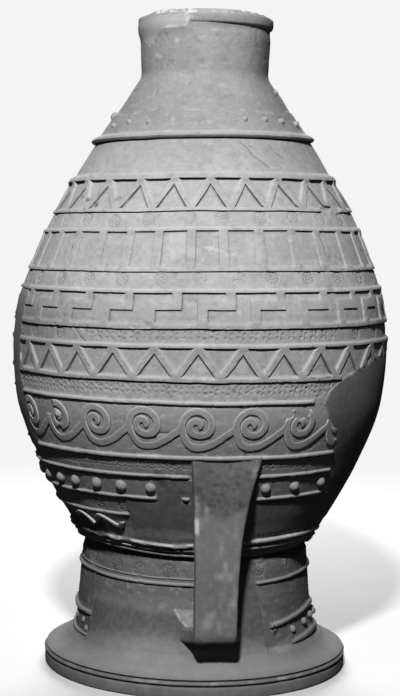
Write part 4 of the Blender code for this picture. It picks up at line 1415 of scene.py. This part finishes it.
def handle_piece():
    """The strap, lofted through its stations."""
    stations = handle_stations()
    gaps = np.hypot(np.diff(stations[:, 0]), np.diff(stations[:, 1]))
    marks = np.concatenate([[0], np.cumsum(gaps)])
    rings = np.linspace(0, marks[-1], round(marks[-1] / 0.0036))
    curves = [eased(list(zip(marks, column))) for column in stations.T]
    path = np.array([[curve(s) for curve in curves] for s in rings])
    around = oblong(26, 8)
    points = []
    for radius, z, lean, width, shift in path:
        tilt = math.radians(lean)
        x = around[:, 0] * (width / 2 - ROUNDED) + around[:, 2] * ROUNDED
        y = around[:, 1] * (THICK / 2 - ROUNDED) + around[:, 3] * ROUNDED
        reach = radius + y * math.cos(tilt)
        aside = x + shift
        points.append(np.stack([reach * math.sin(HANDLE_TURN) + aside * math.cos(HANDLE_TURN),
                                -reach * math.cos(HANDLE_TURN) + aside * math.sin(HANDLE_TURN),
                                z - y * math.sin(tilt)], axis=1))
    size = len(around)
    points = np.concatenate(points)
    faces = []
    for ring in range(len(rings) - 1):
        for i in range(size):
            a, b = ring * size + i, ring * size + (i + 1) % size
            faces.append((a, b, b + size, a + size))
    faces += [tuple(range(size)), tuple(range(len(points) - 1, len(points) - size - 1, -1))]
    rough = noise(points, 0.030, 71)
    old = ramp(0.415, 0.450, points[:, 2] + 0.020 * rough + 0.004 * noise(points, 0.008, 72))
    mesh = bpy.data.meshes.new("handle")
    mesh.from_pydata(points.tolist(), [], faces)
    outward(mesh)
    lift = 0.0012 * noise(points, 0.060, 73)
    lift += 0.0005 * noise(points, 0.016, 74) * (0.3 + 0.7 * old)
    lift += 0.0008 * old - 0.0016 * old * ramp(0.30, 0.7, noise(points, 0.010, 75))
    lift -= 0.0012 * old * ramp(0.5, 0.8, noise(points, 0.006, 79))
    points = points + vertex_values(mesh, "normal") * lift[:, None]
    mesh.vertices.foreach_set("co", points.ravel())
    streaks = 0.7 * noise(points * (1, 1, 0.5), 0.011, 76)
    streaks += 0.9 * noise(points * (1, 1, 0.4), 0.034, 77)
    pitted = ramp(0.35, 0.70, noise(points, 0.008, 78)) * old
    left_edge = np.tile((around[:, 0] < -0.99) & (around[:, 1] > 0.99), len(rings))
    chipped = left_edge * window(points[:, 2], 0.375, 0.388, 0.412, 0.424)
    rubbed = np.maximum(0.11 * (1 - old) + 0.30 * ramp(0.1, 1.1, streaks), chipped)
    masked(mesh, dirt=0.5 * pitted, rubbed=rubbed, plaster=np.full(len(points), 0.9))
    return shown("handle", mesh, 60)


handle = handle_piece()

# %% [markdown]
# ## Strips laid on the wall
# The running spirals and the short hooks are rolled strips of clay, pressed down along a drawn
# line. They are drawn flat, as lines on the unrolled wall. A tree gives each line a rounded
# section, and the result is then bent round the jar, so the strips hug the swell of the wall.

# %% The tree for laid strips
def strip_tree():
    """Gives drawn lines the section of a pressed strip."""
    tree, given = new_tree("laid strips", {
        "Width": "Float", "Rise": "Float", "Step": "Float", "Unevenness": "Float", "Seed": "Float",
        "Material": "Material"})
    curve = feed(tree, "GeometryNodeMeshToCurve", {"Mesh": given["Geometry"]})
    smooth = feed(tree, "GeometryNodeCurveSplineType", {"Curve": curve}, spline_type="CATMULL_ROM")
    thick = feed(tree, "GeometryNodeInputNamedAttribute", {"Name": "thick"}, data_type="FLOAT")
    sized = feed(tree, "GeometryNodeSetCurveRadius", {"Curve": smooth, "Radius": thick})
    even = feed(tree, "GeometryNodeResampleCurve", {"Curve": sized, "Length": given["Step"]}, mode="LENGTH")
    level = feed(tree, "GeometryNodeSetCurveNormal", {"Curve": even}, mode="Z_UP")
    ring = feed(tree, "GeometryNodeCurvePrimitiveCircle", {"Resolution": 14, "Radius": 1.0}, mode="RADIUS")
    size = feed(tree, "ShaderNodeCombineXYZ", {0: given["Width"], 1: given["Rise"], 2: 1.0})
    half = feed(tree, "ShaderNodeVectorMath", {0: size, 1: (0.5, 1.0, 1.0)}, operation="MULTIPLY")
    section = feed(tree, "GeometryNodeTransform", {"Geometry": ring, "Scale": half})
    swept = feed(tree, "GeometryNodeCurveToMesh",
                 {"Curve": level, "Profile Curve": section, "Fill Caps": True})
    worn = uneven(tree, swept, given["Seed"], given["Unevenness"], 70.0)
    return finish_tree(tree, worn, given["Material"])


STRIPS = strip_tree()

# %% The lines of the running spirals and the hooks
EYE = 0.0330
EYE_LEVEL = 0.6280
UNDER = 0.5790
SPIRALS = 23
SPIRAL_R = float(wall(0.62))
# The run under an eye (sideways in eyes, height over the lowest point), then the coil (degrees,
# distance from its middle in eyes, thickness)
RUN = [(-0.58, 0.008), (-0.05, 0.0), (0.65, 0.003), (1.30, 0.013), (1.95, 0.028), (2.45, 0.041)]
COIL = [
    (165, 1.0, 1.0), (135, 1.0, 1.0), (105, 1.0, 1.0), (75, 0.98, 1.0), (45, 0.97, 1.0),
    (15, 0.96, 0.95), (-15, 0.92, 0.9), (-45, 0.82, 0.85), (-75, 0.70, 0.8), (-105, 0.62, 0.75),
    (-140, 0.56, 0.72), (-180, 0.50, 0.68), (-225, 0.42, 0.65), (-270, 0.34, 0.60),
    (-315, 0.24, 0.55), (-355, 0.14, 0.5), (-390, 0.05, 0.4),
]


def spiral_line(angle):
    """One strip: left of an eye, under it and up into the next coil, as x, y, 0 and thickness."""
    pitch = TURN * SPIRAL_R / SPIRALS
    line = [(-1.00 * EYE, EYE_LEVEL - 0.10 * EYE, 0.7), (-0.90 * EYE, EYE_LEVEL - 0.62 * EYE, 1.0)]
    line += [(x * EYE, UNDER + rise, 1.0) for x, rise in RUN]
    for degrees, out, thick in COIL:
        around = math.radians(degrees)
        line.append((pitch + out * EYE * math.cos(around), EYE_LEVEL + out * EYE * math.sin(around), thick))
    start = angle * SPIRAL_R
    return [(start + x, y, 0.0, thick) for x, y, thick in line]


print(SPIRALS, "coils")


# %% Strips pressed on to the wall
def strip_piece(name, lines, width, rise, radius, seed, worn_spots=(), flatness=0.50, shine=0.6):
    """Strips drawn flat (x along the wall, y up), bent round it, and gone where it was lost."""
    drawn = line_mesh(name + "_lines", lines, 0)
    values = {"Width": width, "Rise": rise, "Step": 0.0034, "Unevenness": 0.0012, "Seed": float(seed)}
    mesh = grown(STRIPS, drawn, values)
    x, z, out = vertex_values(mesh).T
    theta = x / radius
    at = placed(theta, z, wall(z))
    gone = mends(wrapped(theta), z, at)
    turn = np.degrees(wrapped(theta))
    for angle, level, size in worn_spots:
        away = np.hypot(np.radians(turn - angle) * wall(z), z - level)
        away += 0.003 * noise(at, 0.010, seed + 5)
        gone = np.maximum(gone, 1 - ramp(size - 0.0015, size + 0.0015, away))
    flat = np.minimum(out, rise * flatness)
    flat -= 0.0009 * ramp(0.5, 0.8, noise(at, 0.010, seed + 7))
    level = out * (1 - gone) - 0.006 * gone
    level = np.where(out > 0, np.minimum(flat, level), level)
    around, height = hand_drawn(theta, z)
    radius_at = np.minimum(wall(z) + level + 0.0005 * noise(at, 0.070, 33), REACH - 0.0002)
    mesh.vertices.foreach_set("co", placed(around, height, radius_at).ravel())
    # The strip's foot, where it meets the wall, is painted dark as shade, and its shoulders are painted
    # pale as a highlight, as strongly as shine says.
    edge = window(out / rise, 0.20, 0.45, 0.55, 0.85)
    masked(mesh, dirt=1 - ramp(0.0006, 0.0030, out), rubbed=shine * edge, plaster=np.zeros(len(z)))
    outward(mesh)
    return shown(name, mesh, 70)


spiral_lines = [spiral_line(math.radians(-0.3 + 360 / SPIRALS * n)) for n in range(SPIRALS)]
# Angle, height and radius of the places where the coils are gone
WORN_SPIRALS = [
    (-51.0, 0.652, 0.020), (-54.5, 0.633, 0.014), (-47.0, 0.600, 0.006), (31.0, 0.662, 0.021),
    (26.5, 0.655, 0.012),
]
spirals = strip_piece("spirals", spiral_lines, 0.0168, 0.0080, SPIRAL_R, 5, WORN_SPIRALS)

HOOK_R = float(wall(0.382))
HOOKS = [
    [(-57.5, 0.387), (-54.8, 0.396), (-52.0, 0.397), (-49.6, 0.388), (-47.0, 0.370)],
    [(-44.2, 0.386), (-43.0, 0.396), (-40.8, 0.399), (-37.6, 0.390), (-34.2, 0.377),
     (-32.4, 0.376), (-31.0, 0.384), (-30.0, 0.383)],
]
hook_lines = [[(math.radians(a) * HOOK_R, z, 0.0, 1.0) for a, z in line] for line in HOOKS]
hooks = strip_piece("hooks", hook_lines, 0.0125, 0.0125, HOOK_R, 9, flatness=0.85, shine=1.0)

# %% [markdown]
# ## Round pellets of clay
# Small balls of clay were pressed on in rows: large ones between two ridges on the lower body,
# small ones on the shoulder and on the stem. A tree puts a flattened ball on every point that is
# given, turned to face out of the wall, and gives each a slightly different shape.

# %% The tree for pellets
def pellet_tree():
    """A pressed ball of clay on each point."""
    tree, given = new_tree("pressed pellets",
                           {"Unevenness": "Float", "Seed": "Float", "Material": "Material"})
    ball = feed(tree, "GeometryNodeMeshUVSphere", {"Segments": 18, "Rings": 12, "Radius": 1.0})
    facing = feed(tree, "GeometryNodeInputNamedAttribute", {"Name": "facing"}, data_type="FLOAT_VECTOR")
    size = feed(tree, "GeometryNodeInputNamedAttribute", {"Name": "size"}, data_type="FLOAT_VECTOR")
    turned = feed(tree, "FunctionNodeAlignRotationToVector", {"Vector": facing}, axis="Z")
    points = feed(tree, "GeometryNodeMeshToPoints", {"Mesh": given["Geometry"]})
    placed_balls = feed(tree, "GeometryNodeInstanceOnPoints",
                        {"Points": points, "Instance": ball, "Rotation": turned, "Scale": size})
    real = feed(tree, "GeometryNodeRealizeInstances", {"Geometry": placed_balls})
    worn = uneven(tree, real, given["Seed"], given["Unevenness"], 60.0)
    return finish_tree(tree, worn, given["Material"])


PELLETS = pellet_tree()


def pellet_piece(name, spots, seed):
    """Pellets from angle, height, radius across and rise."""
    mesh = bpy.data.meshes.new(name + "_points")
    table = np.array(spots)
    theta, z = np.radians(table[:, 0]), table[:, 1]
    around, level = hand_drawn(theta, z)
    mesh.from_pydata(placed(around, level, wall(z) - 0.0008).tolist(), [], [])
    facing = placed(theta, -lean_of(z), 1.0)
    facing /= np.linalg.norm(facing, axis=1)[:, None]
    for label, values in (("facing", facing), ("size", table[:, [2, 2, 3]])):
        layer = mesh.attributes.new(label, "FLOAT_VECTOR", "POINT")
        layer.data.foreach_set("vector", values.astype(np.float32).ravel())
    made = grown(PELLETS, mesh, {"Unevenness": 0.0030, "Seed": seed})
    count = len(made.vertices)
    masked(made, dirt=np.zeros(count), rubbed=np.full(count, 0.2), plaster=np.zeros(count))
    outward(made)
    return shown(name, made, 70)


# %% Where the pellets sit
def row_of_pellets(count, first, z, radius, rise, skipped):
    """A whole turn of pellets at one height, leaving out those in the skipped stretches of degrees."""
    found = []
    for i in range(count):
        turn = in_turn(first + 360 * i / count)
        if not any(start < turn < end for start, end in skipped):
            found.append((turn, z, radius, rise))
    return found


# Angle, height, radius across and rise; the last two of the eyes are stubs at the left edge
BELLY_PELLETS = [
    (-56.8, 0.483, 0.0125, 0.012), (-47.5, 0.483, 0.0130, 0.012), (-36.9, 0.484, 0.0135, 0.012),
    (-26.8, 0.484, 0.0140, 0.012), (-15.9, 0.483, 0.0130, 0.011), (23.9, 0.484, 0.0122, 0.012),
    (35.2, 0.484, 0.0122, 0.012), (48.2, 0.485, 0.0118, 0.011),
]
BELLY_PELLETS += row_of_pellets(35, -67.0, 0.483, 0.0130, 0.0115, ((-60, LOST),))
SHOULDER_PELLETS = [
    (-62.5, 1.299, 0.0078, 0.0105), (-47.0, 1.303, 0.0080, 0.0100), (-32.4, 1.302, 0.0078, 0.0095),
    (-18.1, 1.303, 0.0090, 0.0055), (23.2, 1.304, 0.0080, 0.0110), (37.2, 1.306, 0.0078, 0.0105),
    (50.5, 1.305, 0.0080, 0.0105), (67.5, 1.302, 0.0080, 0.0105),
]
SHOULDER_PELLETS += [(a, 1.303, 0.0080, 0.0100) for a in (115, 160, 205 - 360, 250 - 360)]
SHOULDER_PELLETS += [(-81, 1.327, 0.0115, 0.0110), (72.2, 1.382, 0.0070, 0.0060)]
STEM_PELLETS = [
    (52.7, 0.122, 0.0085, 0.0070), (63.7, 0.124, 0.0085, 0.0070), (73.2, 0.125, 0.0085, 0.0070),
    (-66.6, 0.126, 0.0080, 0.0065), (-62.6, 0.109, 0.0080, 0.0060), (85, 0.124, 0.0085, 0.0070),
    (96, 0.124, 0.0085, 0.0070), (-78, 0.124, 0.0085, 0.0070),
]
EYE_PELLETS = [(-46.6, 0.635, 0.0105, 0.0085), (-95, 0.728, 0.0100, 0.0042), (-95, 0.676, 0.0100, 0.0070)]
pellets = pellet_piece("pellets", BELLY_PELLETS + SHOULDER_PELLETS + STEM_PELLETS + EYE_PELLETS, 4.0)

# %% [markdown]
# ## Pressing the stamps
# The stamp was a small carved tool, pushed into the band again and again. The tree does the same
# with numbers: each point of the wall looks for the nearest stamp centre, asks how far away it is
# and in which direction, and is pushed in by a pattern of petals inside a ring.

# %% The stamping tree
def stamping_tree():
    """Presses round stamps into a wall at the points of another object."""
    tree, given = new_tree("pressed stamps", {
        "Centres": "Object", "Radius": "Float", "Depth": "Float", "Petals": "Float", "Sharpness": "Float",
        "Rim": "Float", "Stretch": "Float", "Turning": "Float", "Darkening": "Float", "Seed": "Int",
        "Material": "Material"})
    calculate = calculator(tree)

    def between(value, low, high):
        return feed(tree, "ShaderNodeMapRange", {"Value": value, "From Min": low, "From Max": high},
                    interpolation_type="SMOOTHSTEP")

    def product(*values):
        """All the values multiplied."""
        result = values[0]
        for value in values[1:]:
            result = calculate("MULTIPLY", result, value)
        return result

    def distance(x, y):
        return calculate("SQRT", calculate("ADD", calculate("POWER", x, 2.0), calculate("POWER", y, 2.0)))

    centres = add(tree, "GeometryNodeObjectInfo", {"Object": given["Centres"]}).outputs["Geometry"]
    place = feed(tree, "GeometryNodeInputPosition")
    nearest = feed(tree, "GeometryNodeSampleNearest", {"Geometry": centres, "Sample Position": place},
                   domain="POINT")
    centre = feed(tree, "GeometryNodeSampleIndex", {"Geometry": centres, "Value": place, "Index": nearest},
                  data_type="FLOAT_VECTOR", domain="POINT")
    here = add(tree, "ShaderNodeSeparateXYZ", {0: place}).outputs
    there = add(tree, "ShaderNodeSeparateXYZ", {0: centre}).outputs
    out = distance(here[0], here[1])
    there_out = distance(there[0], there[1])
    crossed = calculate("SUBTRACT", product(there[0], here[1]), product(there[1], here[0]))
    across = calculate("DIVIDE", crossed, there_out)
    up = product(calculate("SUBTRACT", here[2], there[2]), given["Stretch"])
    far = calculate("DIVIDE", distance(across, up), given["Radius"])
    chance = add(tree, "FunctionNodeRandomValue", {"ID": nearest, "Seed": given["Seed"]},
                 data_type="FLOAT").outputs[1]
    direction = calculate("ADD", calculate("ARCTAN2", up, across), product(chance, given["Turning"]))
    gaps = calculate("MULTIPLY_ADD", calculate("COSINE", product(direction, given["Petals"])), -0.5, 0.5)
    gaps = calculate("POWER", gaps, given["Sharpness"])
    gaps = product(gaps, between(far, 0.95, 0.80), between(far, 0.05, 0.3))
    heart = product(between(far, 0.14, 0.24), between(far, 0.38, 0.28), given["Rim"])
    rim = product(between(far, 0.78, 0.92), between(far, 1.10, 1.0), given["Rim"])
    pattern = calculate("MAXIMUM", calculate("MAXIMUM", gaps, heart), rim)
    strength = calculate("MULTIPLY_ADD", chance, 0.6, 0.6)
    mended = feed(tree, "GeometryNodeInputNamedAttribute", {"Name": "plaster"}, data_type="FLOAT")
    clay = calculate("SUBTRACT", 1.0, mended)
    outside = calculate("GREATER_THAN", calculate("SUBTRACT", out, there_out), -0.015)
    depth = product(pattern, clay, outside, strength)
    sideways, forwards = calculate("DIVIDE", here[0], out), calculate("DIVIDE", here[1], out)
    outward_way = feed(tree, "ShaderNodeCombineXYZ", {0: sideways, 1: forwards})
    inwards = product(depth, given["Depth"], -1.0)
    push = feed(tree, "ShaderNodeVectorMath", {0: outward_way, "Scale": inwards}, operation="SCALE")
    pressed = feed(tree, "GeometryNodeSetPosition", {"Geometry": given["Geometry"], "Offset": push})
    # The pressed hollows are also marked darker, the deeper they are pressed.
    kept = feed(tree, "GeometryNodeInputNamedAttribute", {"Name": "stamped"}, data_type="FLOAT")
    darkened = calculate("MAXIMUM", kept, product(depth, given["Darkening"]))
    marked = feed(tree, "GeometryNodeStoreNamedAttribute",
                  {"Geometry": pressed, "Name": "stamped", "Value": darkened}, data_type="FLOAT",
                  domain="POINT")
    return finish_tree(tree, marked, given["Material"])


STAMPING = stamping_tree()


# %% Pressing one row of stamps
def stamp(piece, spots, **values):
    """Presses stamps at these angles and heights into a piece and keeps the result as its mesh."""
    table = np.array(spots)
    theta, z = hand_drawn(np.radians(table[:, 0]), table[:, 1])
    centres = linked("centres", bpy.data.meshes.new("centres"))
    centres.data.from_pydata(placed(theta, z, wall(z)).tolist(), [], [])
    stretch = math.hypot(1, float(lean_of(z.mean())))
    old = piece.data
    piece.data = grown(STAMPING, old, dict(values, Centres=centres, Stretch=stretch))
    bpy.data.meshes.remove(old)
    bpy.data.meshes.remove(centres.data)


# %% Rosettes and crosses
ROSETTE = {"Depth": 0.0022, "Petals": 8.0, "Sharpness": 0.8, "Rim": 1.0, "Turning": 0.6, "Darkening": 0.30,
           "Seed": 3}
CROSS = {"Depth": 0.0026, "Petals": 4.0, "Sharpness": 3.6, "Rim": 0.0, "Turning": 0.35, "Darkening": 0.55,
         "Seed": 5}
for name, (spots, radius) in ROSETTES.items():
    stamp(walls[name], spots, Radius=radius, **ROSETTE)
for name, (count, first, z, radius, start, end) in CROSSES.items():
    turns = [in_turn(first + 360 * i / count) for i in range(count)]
    spots = [(turn, z) for turn in turns if start <= turn <= end]
    stamp(walls[name], spots, Radius=radius, **CROSS)
print("stamped", sum(len(spots) for spots, _ in ROSETTES.values()), "rosettes and", len(CROSSES),
      "lattices")

# %% [markdown]
# ## Fired clay and plaster
# The real clay is coarse terracotta, fired red and greyed by age, here in the greys of an old
# photograph. It is matt, with grit of one to three millimetres, wiping marks that run round the
# jar, dirt and painted shade in the corners and under the ridges, and pale rubbed edges with
# painted highlights; its tone also darkens towards the bottom as painted shade. The mender's
# gypsum plaster is smoother and more even. Both live in one material, because the masks on the
# skin say where each one is.

# %% Colours and the material tree
def shade(code):
    """An sRGB hex colour as linear numbers."""
    parts = [int(code[i:i + 2], 16) / 255 for i in (1, 3, 5)]
    return (*[c / 12.92 if c <= 0.04045 else ((c + 0.055) / 1.055) ** 2.4 for c in parts], 1.0)


# The clay's tone by height, with painted shade: much darker below the belly and on the stem, where less
# light reaches.
CLAY_TONE_AND_SHADE_BY_HEIGHT = [
    (0.0, "#3a3a3a"), (0.27, "#404040"), (0.36, "#5a5a5a"), (0.52, "#5e5e5e"), (0.60, "#828282"),
    (0.71, "#9a9a9a"), (0.83, "#939393"), (0.89, "#a5a5a5"), (0.94, "#aaaaaa"), (1.01, "#a2a2a2"),
    (1.08, "#adadad"), (1.20, "#a5a5a5"), (1.32, "#8d8d8d"), (LIP_TOP, "#9e9e9e"),
]
# The plaster's tone by height, with painted light and shade: paler on the foot's slope, which faces up to
# the lamp, and painted shade on the stem and lower body.
PLASTER_TONE_AND_SHADE_BY_HEIGHT = [
    (0.0, "#585858"), (0.042, "#606060"), (0.052, "#7c7c7c"), (0.085, "#666666"),
    (0.125, "#424242"), (0.19, "#424242"), (0.27, "#383838"), (0.40, "#4c4c4c"), (0.46, "#464646"),
    (0.64, "#4b4b4b"), (0.74, "#5e5e5e"), (0.88, "#7c7c7c"), (1.00, "#7c7c7c"), (1.40, "#a0a0a0"),
    (LIP_TOP, "#a8a8a8"),
]


print(len(CLAY_TONE_AND_SHADE_BY_HEIGHT), "tones of clay,", len(PLASTER_TONE_AND_SHADE_BY_HEIGHT), "of plaster")


# %% Short ways to paint with nodes
def paint_box(tree, place):
    """The strokes that the material is painted with, for this tree."""

    def spots(size_mm, detail, rough=0.6, where=place):
        return feed(tree, "ShaderNodeTexNoise",
                    {"Vector": where, "Scale": 1000.0 / size_mm, "Detail": detail, "Roughness": rough})

    def span(value, low, high, to_low=0.0, to_high=1.0):
        return feed(tree, "ShaderNodeMapRange", {
            "Value": value, "From Min": low, "From Max": high, "To Min": to_low, "To Max": to_high})

    def blend(share, first, second):
        return add(tree, "ShaderNodeMix", {"Factor": share, 6: first, 7: second},
                   data_type="RGBA").outputs[2]

    def layered(base, *layers):
        """Tones laid one over another: where, how strongly at most, and the tone."""
        for where, most, tone in layers:
            base = blend(span(where, 0, 1, 0, most), base, shade(tone))
        return base

    def mask(name):
        return add(tree, "ShaderNodeAttribute", attribute_name=name).outputs["Fac"]

    return spots, span, blend, layered, mask


# %% The material tree
def fired_clay_material():
    """Clay and plaster in one material, told apart by the masks."""
    material = bpy.data.materials.new("fired clay with plaster mends")
    material.use_nodes = True
    tree = material.node_tree
    tree.nodes.clear()
    place = add(tree, "ShaderNodeTexCoord").outputs["Object"]
    spots, span, blend, layered, mask = paint_box(tree, place)
    around = feed(tree, "ShaderNodeMapping", {"Vector": place, "Scale": (1.0, 1.0, 9.0)})
    clouds = span(spots(220, 4), 0.35, 0.65)
    blotches = span(spots(45, 4), 0.35, 0.68)
    wiped = span(spots(120, 5, where=around), 0.35, 0.65)
    grit = spots(4.5, 3)
    fine = spots(1.6, 2)
    level = span(add(tree, "ShaderNodeSeparateXYZ", {0: place}).outputs[2], 0, LIP_TOP)

    def by_height(tones):
        """Tones blended from height to height."""
        ladder = add(tree, "ShaderNodeValToRGB", {0: level})
        stops = ladder.color_ramp.elements
        for height, tone in tones[1:-1]:
            stops.new(height / LIP_TOP)
        for stop, (height, tone) in zip(stops, tones):
            stop.position = height / LIP_TOP
            stop.color = shade(tone)
        return ladder.outputs[0]

    calculate = calculator(tree)
    clay = layered(
        by_height(CLAY_TONE_AND_SHADE_BY_HEIGHT),
        (clouds, 0.24, "#6f6f6f"),
        (blotches, 0.30, "#6a6a6a"),
        (wiped, 0.10, "#b4b4b4"),
        (span(spots(16, 4, 0.7), 0.45, 0.70), 0.26, "#5e5e5e"),
        (span(grit, 0.35, 0.65), 0.16, "#666666"),
        (span(spots(6.0, 2), 0.68, 0.74), 0.35, "#c4c4c4"))
    plaster = layered(
        by_height(PLASTER_TONE_AND_SHADE_BY_HEIGHT),
        (clouds, 0.12, "#8a8a8a"),
        (span(spots(14, 3), 0.40, 0.70), 0.22, "#8c8c8c"),
        (blotches, 0.20, "#444444"))
    mended = mask("plaster")
    # Rubbed edges and painted highlights are laid pale over both, the pressed hollows darker, and dirt and
    # painted shade dark.
    colour = layered(
        blend(mended, clay, plaster),
        (mask("rubbed"), 0.66, "#d6d6d6"),
        (mask("stamped"), 0.45, "#4a4a4a"),
        (mask("dirt"), 0.88, "#181818"))
    heights = calculate("MULTIPLY", grit, span(mended, 0, 1, 1.0, 0.45))
    heights = calculate("MULTIPLY_ADD", fine, 0.4, heights)
    heights = calculate("MULTIPLY_ADD", wiped, span(mended, 0, 1, 0.35, 0.0), heights)
    bump = feed(tree, "ShaderNodeBump", {"Strength": 0.42, "Distance": 0.0018, "Height": heights})
    surface = feed(tree, "ShaderNodeBsdfPrincipled", {
        "Base Color": colour, "Roughness": span(blotches, 0, 1, 0.78, 0.90), "Normal": bump, "IOR": 1.5})
    add(tree, "ShaderNodeOutputMaterial", {"Surface": surface})
    return material


clay_material = fired_clay_material()
jar_pieces = list(walls.values()) + [foot, lip, handle, spirals, hooks, pellets]
for piece in jar_pieces:
    piece.data.materials.clear()
    piece.data.materials.append(clay_material)
print(clay_material.name, len(clay_material.node_tree.nodes), "nodes")

# %% [markdown]
# ## The studio
# The jar stands on a plain pale floor that fades into a pale background. One soft lamp high in
# front gives the short shadows under each ridge, two weak ones lift the sides, and one stands
# behind. The camera is a little above the jar's middle and looks slightly down, as the
# photograph does.

# %% Floor and background
def floor_piece(radius):
    """A pale disc whose colour fades out towards its edge."""
    shape = bmesh.new()
    bmesh.ops.create_circle(shape, cap_ends=True, segments=96, radius=radius)
    mesh = bpy.data.meshes.new("floor")
    shape.to_mesh(mesh)
    shape.free()
    material = bpy.data.materials.new("pale painted floor")
    material.use_nodes = True
    tree = material.node_tree
    tree.nodes.clear()
    place = add(tree, "ShaderNodeTexCoord").outputs["Object"]
    far = add(tree, "ShaderNodeVectorMath", {0: place}, operation="LENGTH").outputs["Value"]
    fade = feed(tree, "ShaderNodeMapRange",
                {"Value": far, "From Min": 0.35 * radius, "From Max": 0.95 * radius},
                interpolation_type="SMOOTHSTEP")
    grain = feed(tree, "ShaderNodeTexNoise", {"Vector": place, "Scale": 3.0, "Detail": 3.0})
    tint = add(tree, "ShaderNodeMix", {"Factor": grain, 6: shade("#c4c4c4"), 7: shade("#cecece")},
               data_type="RGBA").outputs[2]
    paint = feed(tree, "ShaderNodeBsdfPrincipled", {"Base Color": tint, "Roughness": 0.7})
    clear = feed(tree, "ShaderNodeBsdfTransparent")
    mixed = feed(tree, "ShaderNodeMixShader", {0: fade, 1: paint, 2: clear})
    add(tree, "ShaderNodeOutputMaterial", {"Surface": mixed})
    mesh.materials.append(material)
    return linked("floor", mesh)


floor = floor_piece(4.0)
floor.location.z = -0.0005
floor.visible_diffuse = False
floor.visible_glossy = False

world = bpy.data.worlds.new("pale studio")
world.use_nodes = True
world.node_tree.nodes.clear()
seen = add(world.node_tree, "ShaderNodeLightPath").outputs["Is Camera Ray"]
dim = feed(world.node_tree, "ShaderNodeBackground", {"Color": shade("#ffffff"), "Strength": 0.025})
pale = feed(world.node_tree, "ShaderNodeBackground", {"Color": shade("#f4f4f4"), "Strength": 1.0})
both = feed(world.node_tree, "ShaderNodeMixShader", {0: seen, 1: dim, 2: pale})
add(world.node_tree, "ShaderNodeOutputWorld", {"Surface": both})
bpy.context.scene.world = world

print(floor.name, "and", world.name)


# %% Lamps
def lamp(name, azimuth, elevation, distance, size, watts):
    """A square lamp that faces the middle of the jar."""
    light = bpy.data.lights.new(name, "AREA")
    light.energy = watts
    light.size = size
    piece = linked(name, light)
    a, e = math.radians(azimuth), math.radians(elevation)
    middle = Vector((0, 0, 0.75))
    towards = Vector((math.sin(a) * math.cos(e), -math.cos(a) * math.cos(e), math.sin(e)))
    piece.location = middle + distance * towards
    piece.rotation_euler = (middle - piece.location).to_track_quat("-Z", "Y").to_euler()
    return piece


# Azimuth and elevation in degrees, distance and size in metres, and watts
LAMPS = {
    "high front lamp": (-6, 38.7, 6.48, 0.40, 600),
    "weak left lamp": (-60, 10, 5.0, 3.0, 5),
    "weak right lamp": (62, 2, 5.0, 3.0, 4),
    "rear lamp": (180, 30, 4.5, 2.5, 260),
}
for name, values in LAMPS.items():
    lamp(name, *values)
bpy.context.scene.view_settings.view_transform = "Standard"
print(len(LAMPS), "lamps")

# %% Camera
SENSOR = 36
FOCAL_SHARE = 1600 / 696
EYE_DISTANCE = 3.9
EYE_HEIGHT = 1.040
LOOKS_DOWN = 0.0697
ROLL = math.radians(1.056)
camera = bpy.data.cameras.new("camera")
camera.sensor_width = SENSOR
camera.sensor_fit = "AUTO"
camera.lens = SENSOR * FOCAL_SHARE
eye = linked("camera", camera)
eye.location = (0.0, -EYE_DISTANCE, EYE_HEIGHT)
eye.rotation_euler = (math.pi / 2 - LOOKS_DOWN, 0, 0)
eye.rotation_euler.rotate_axis("Z", ROLL)
bpy.context.scene.camera = eye
print("focal length", round(camera.lens, 1), "mm")

# %% [markdown]
# ## Attaching the pieces
# Every piece rides on the jar's one body and takes its finish from the fired clay, and the solid
# is hidden.

# %% Frame calls
for piece in jar_pieces:
    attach(piece, "root")
    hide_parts("pithos")
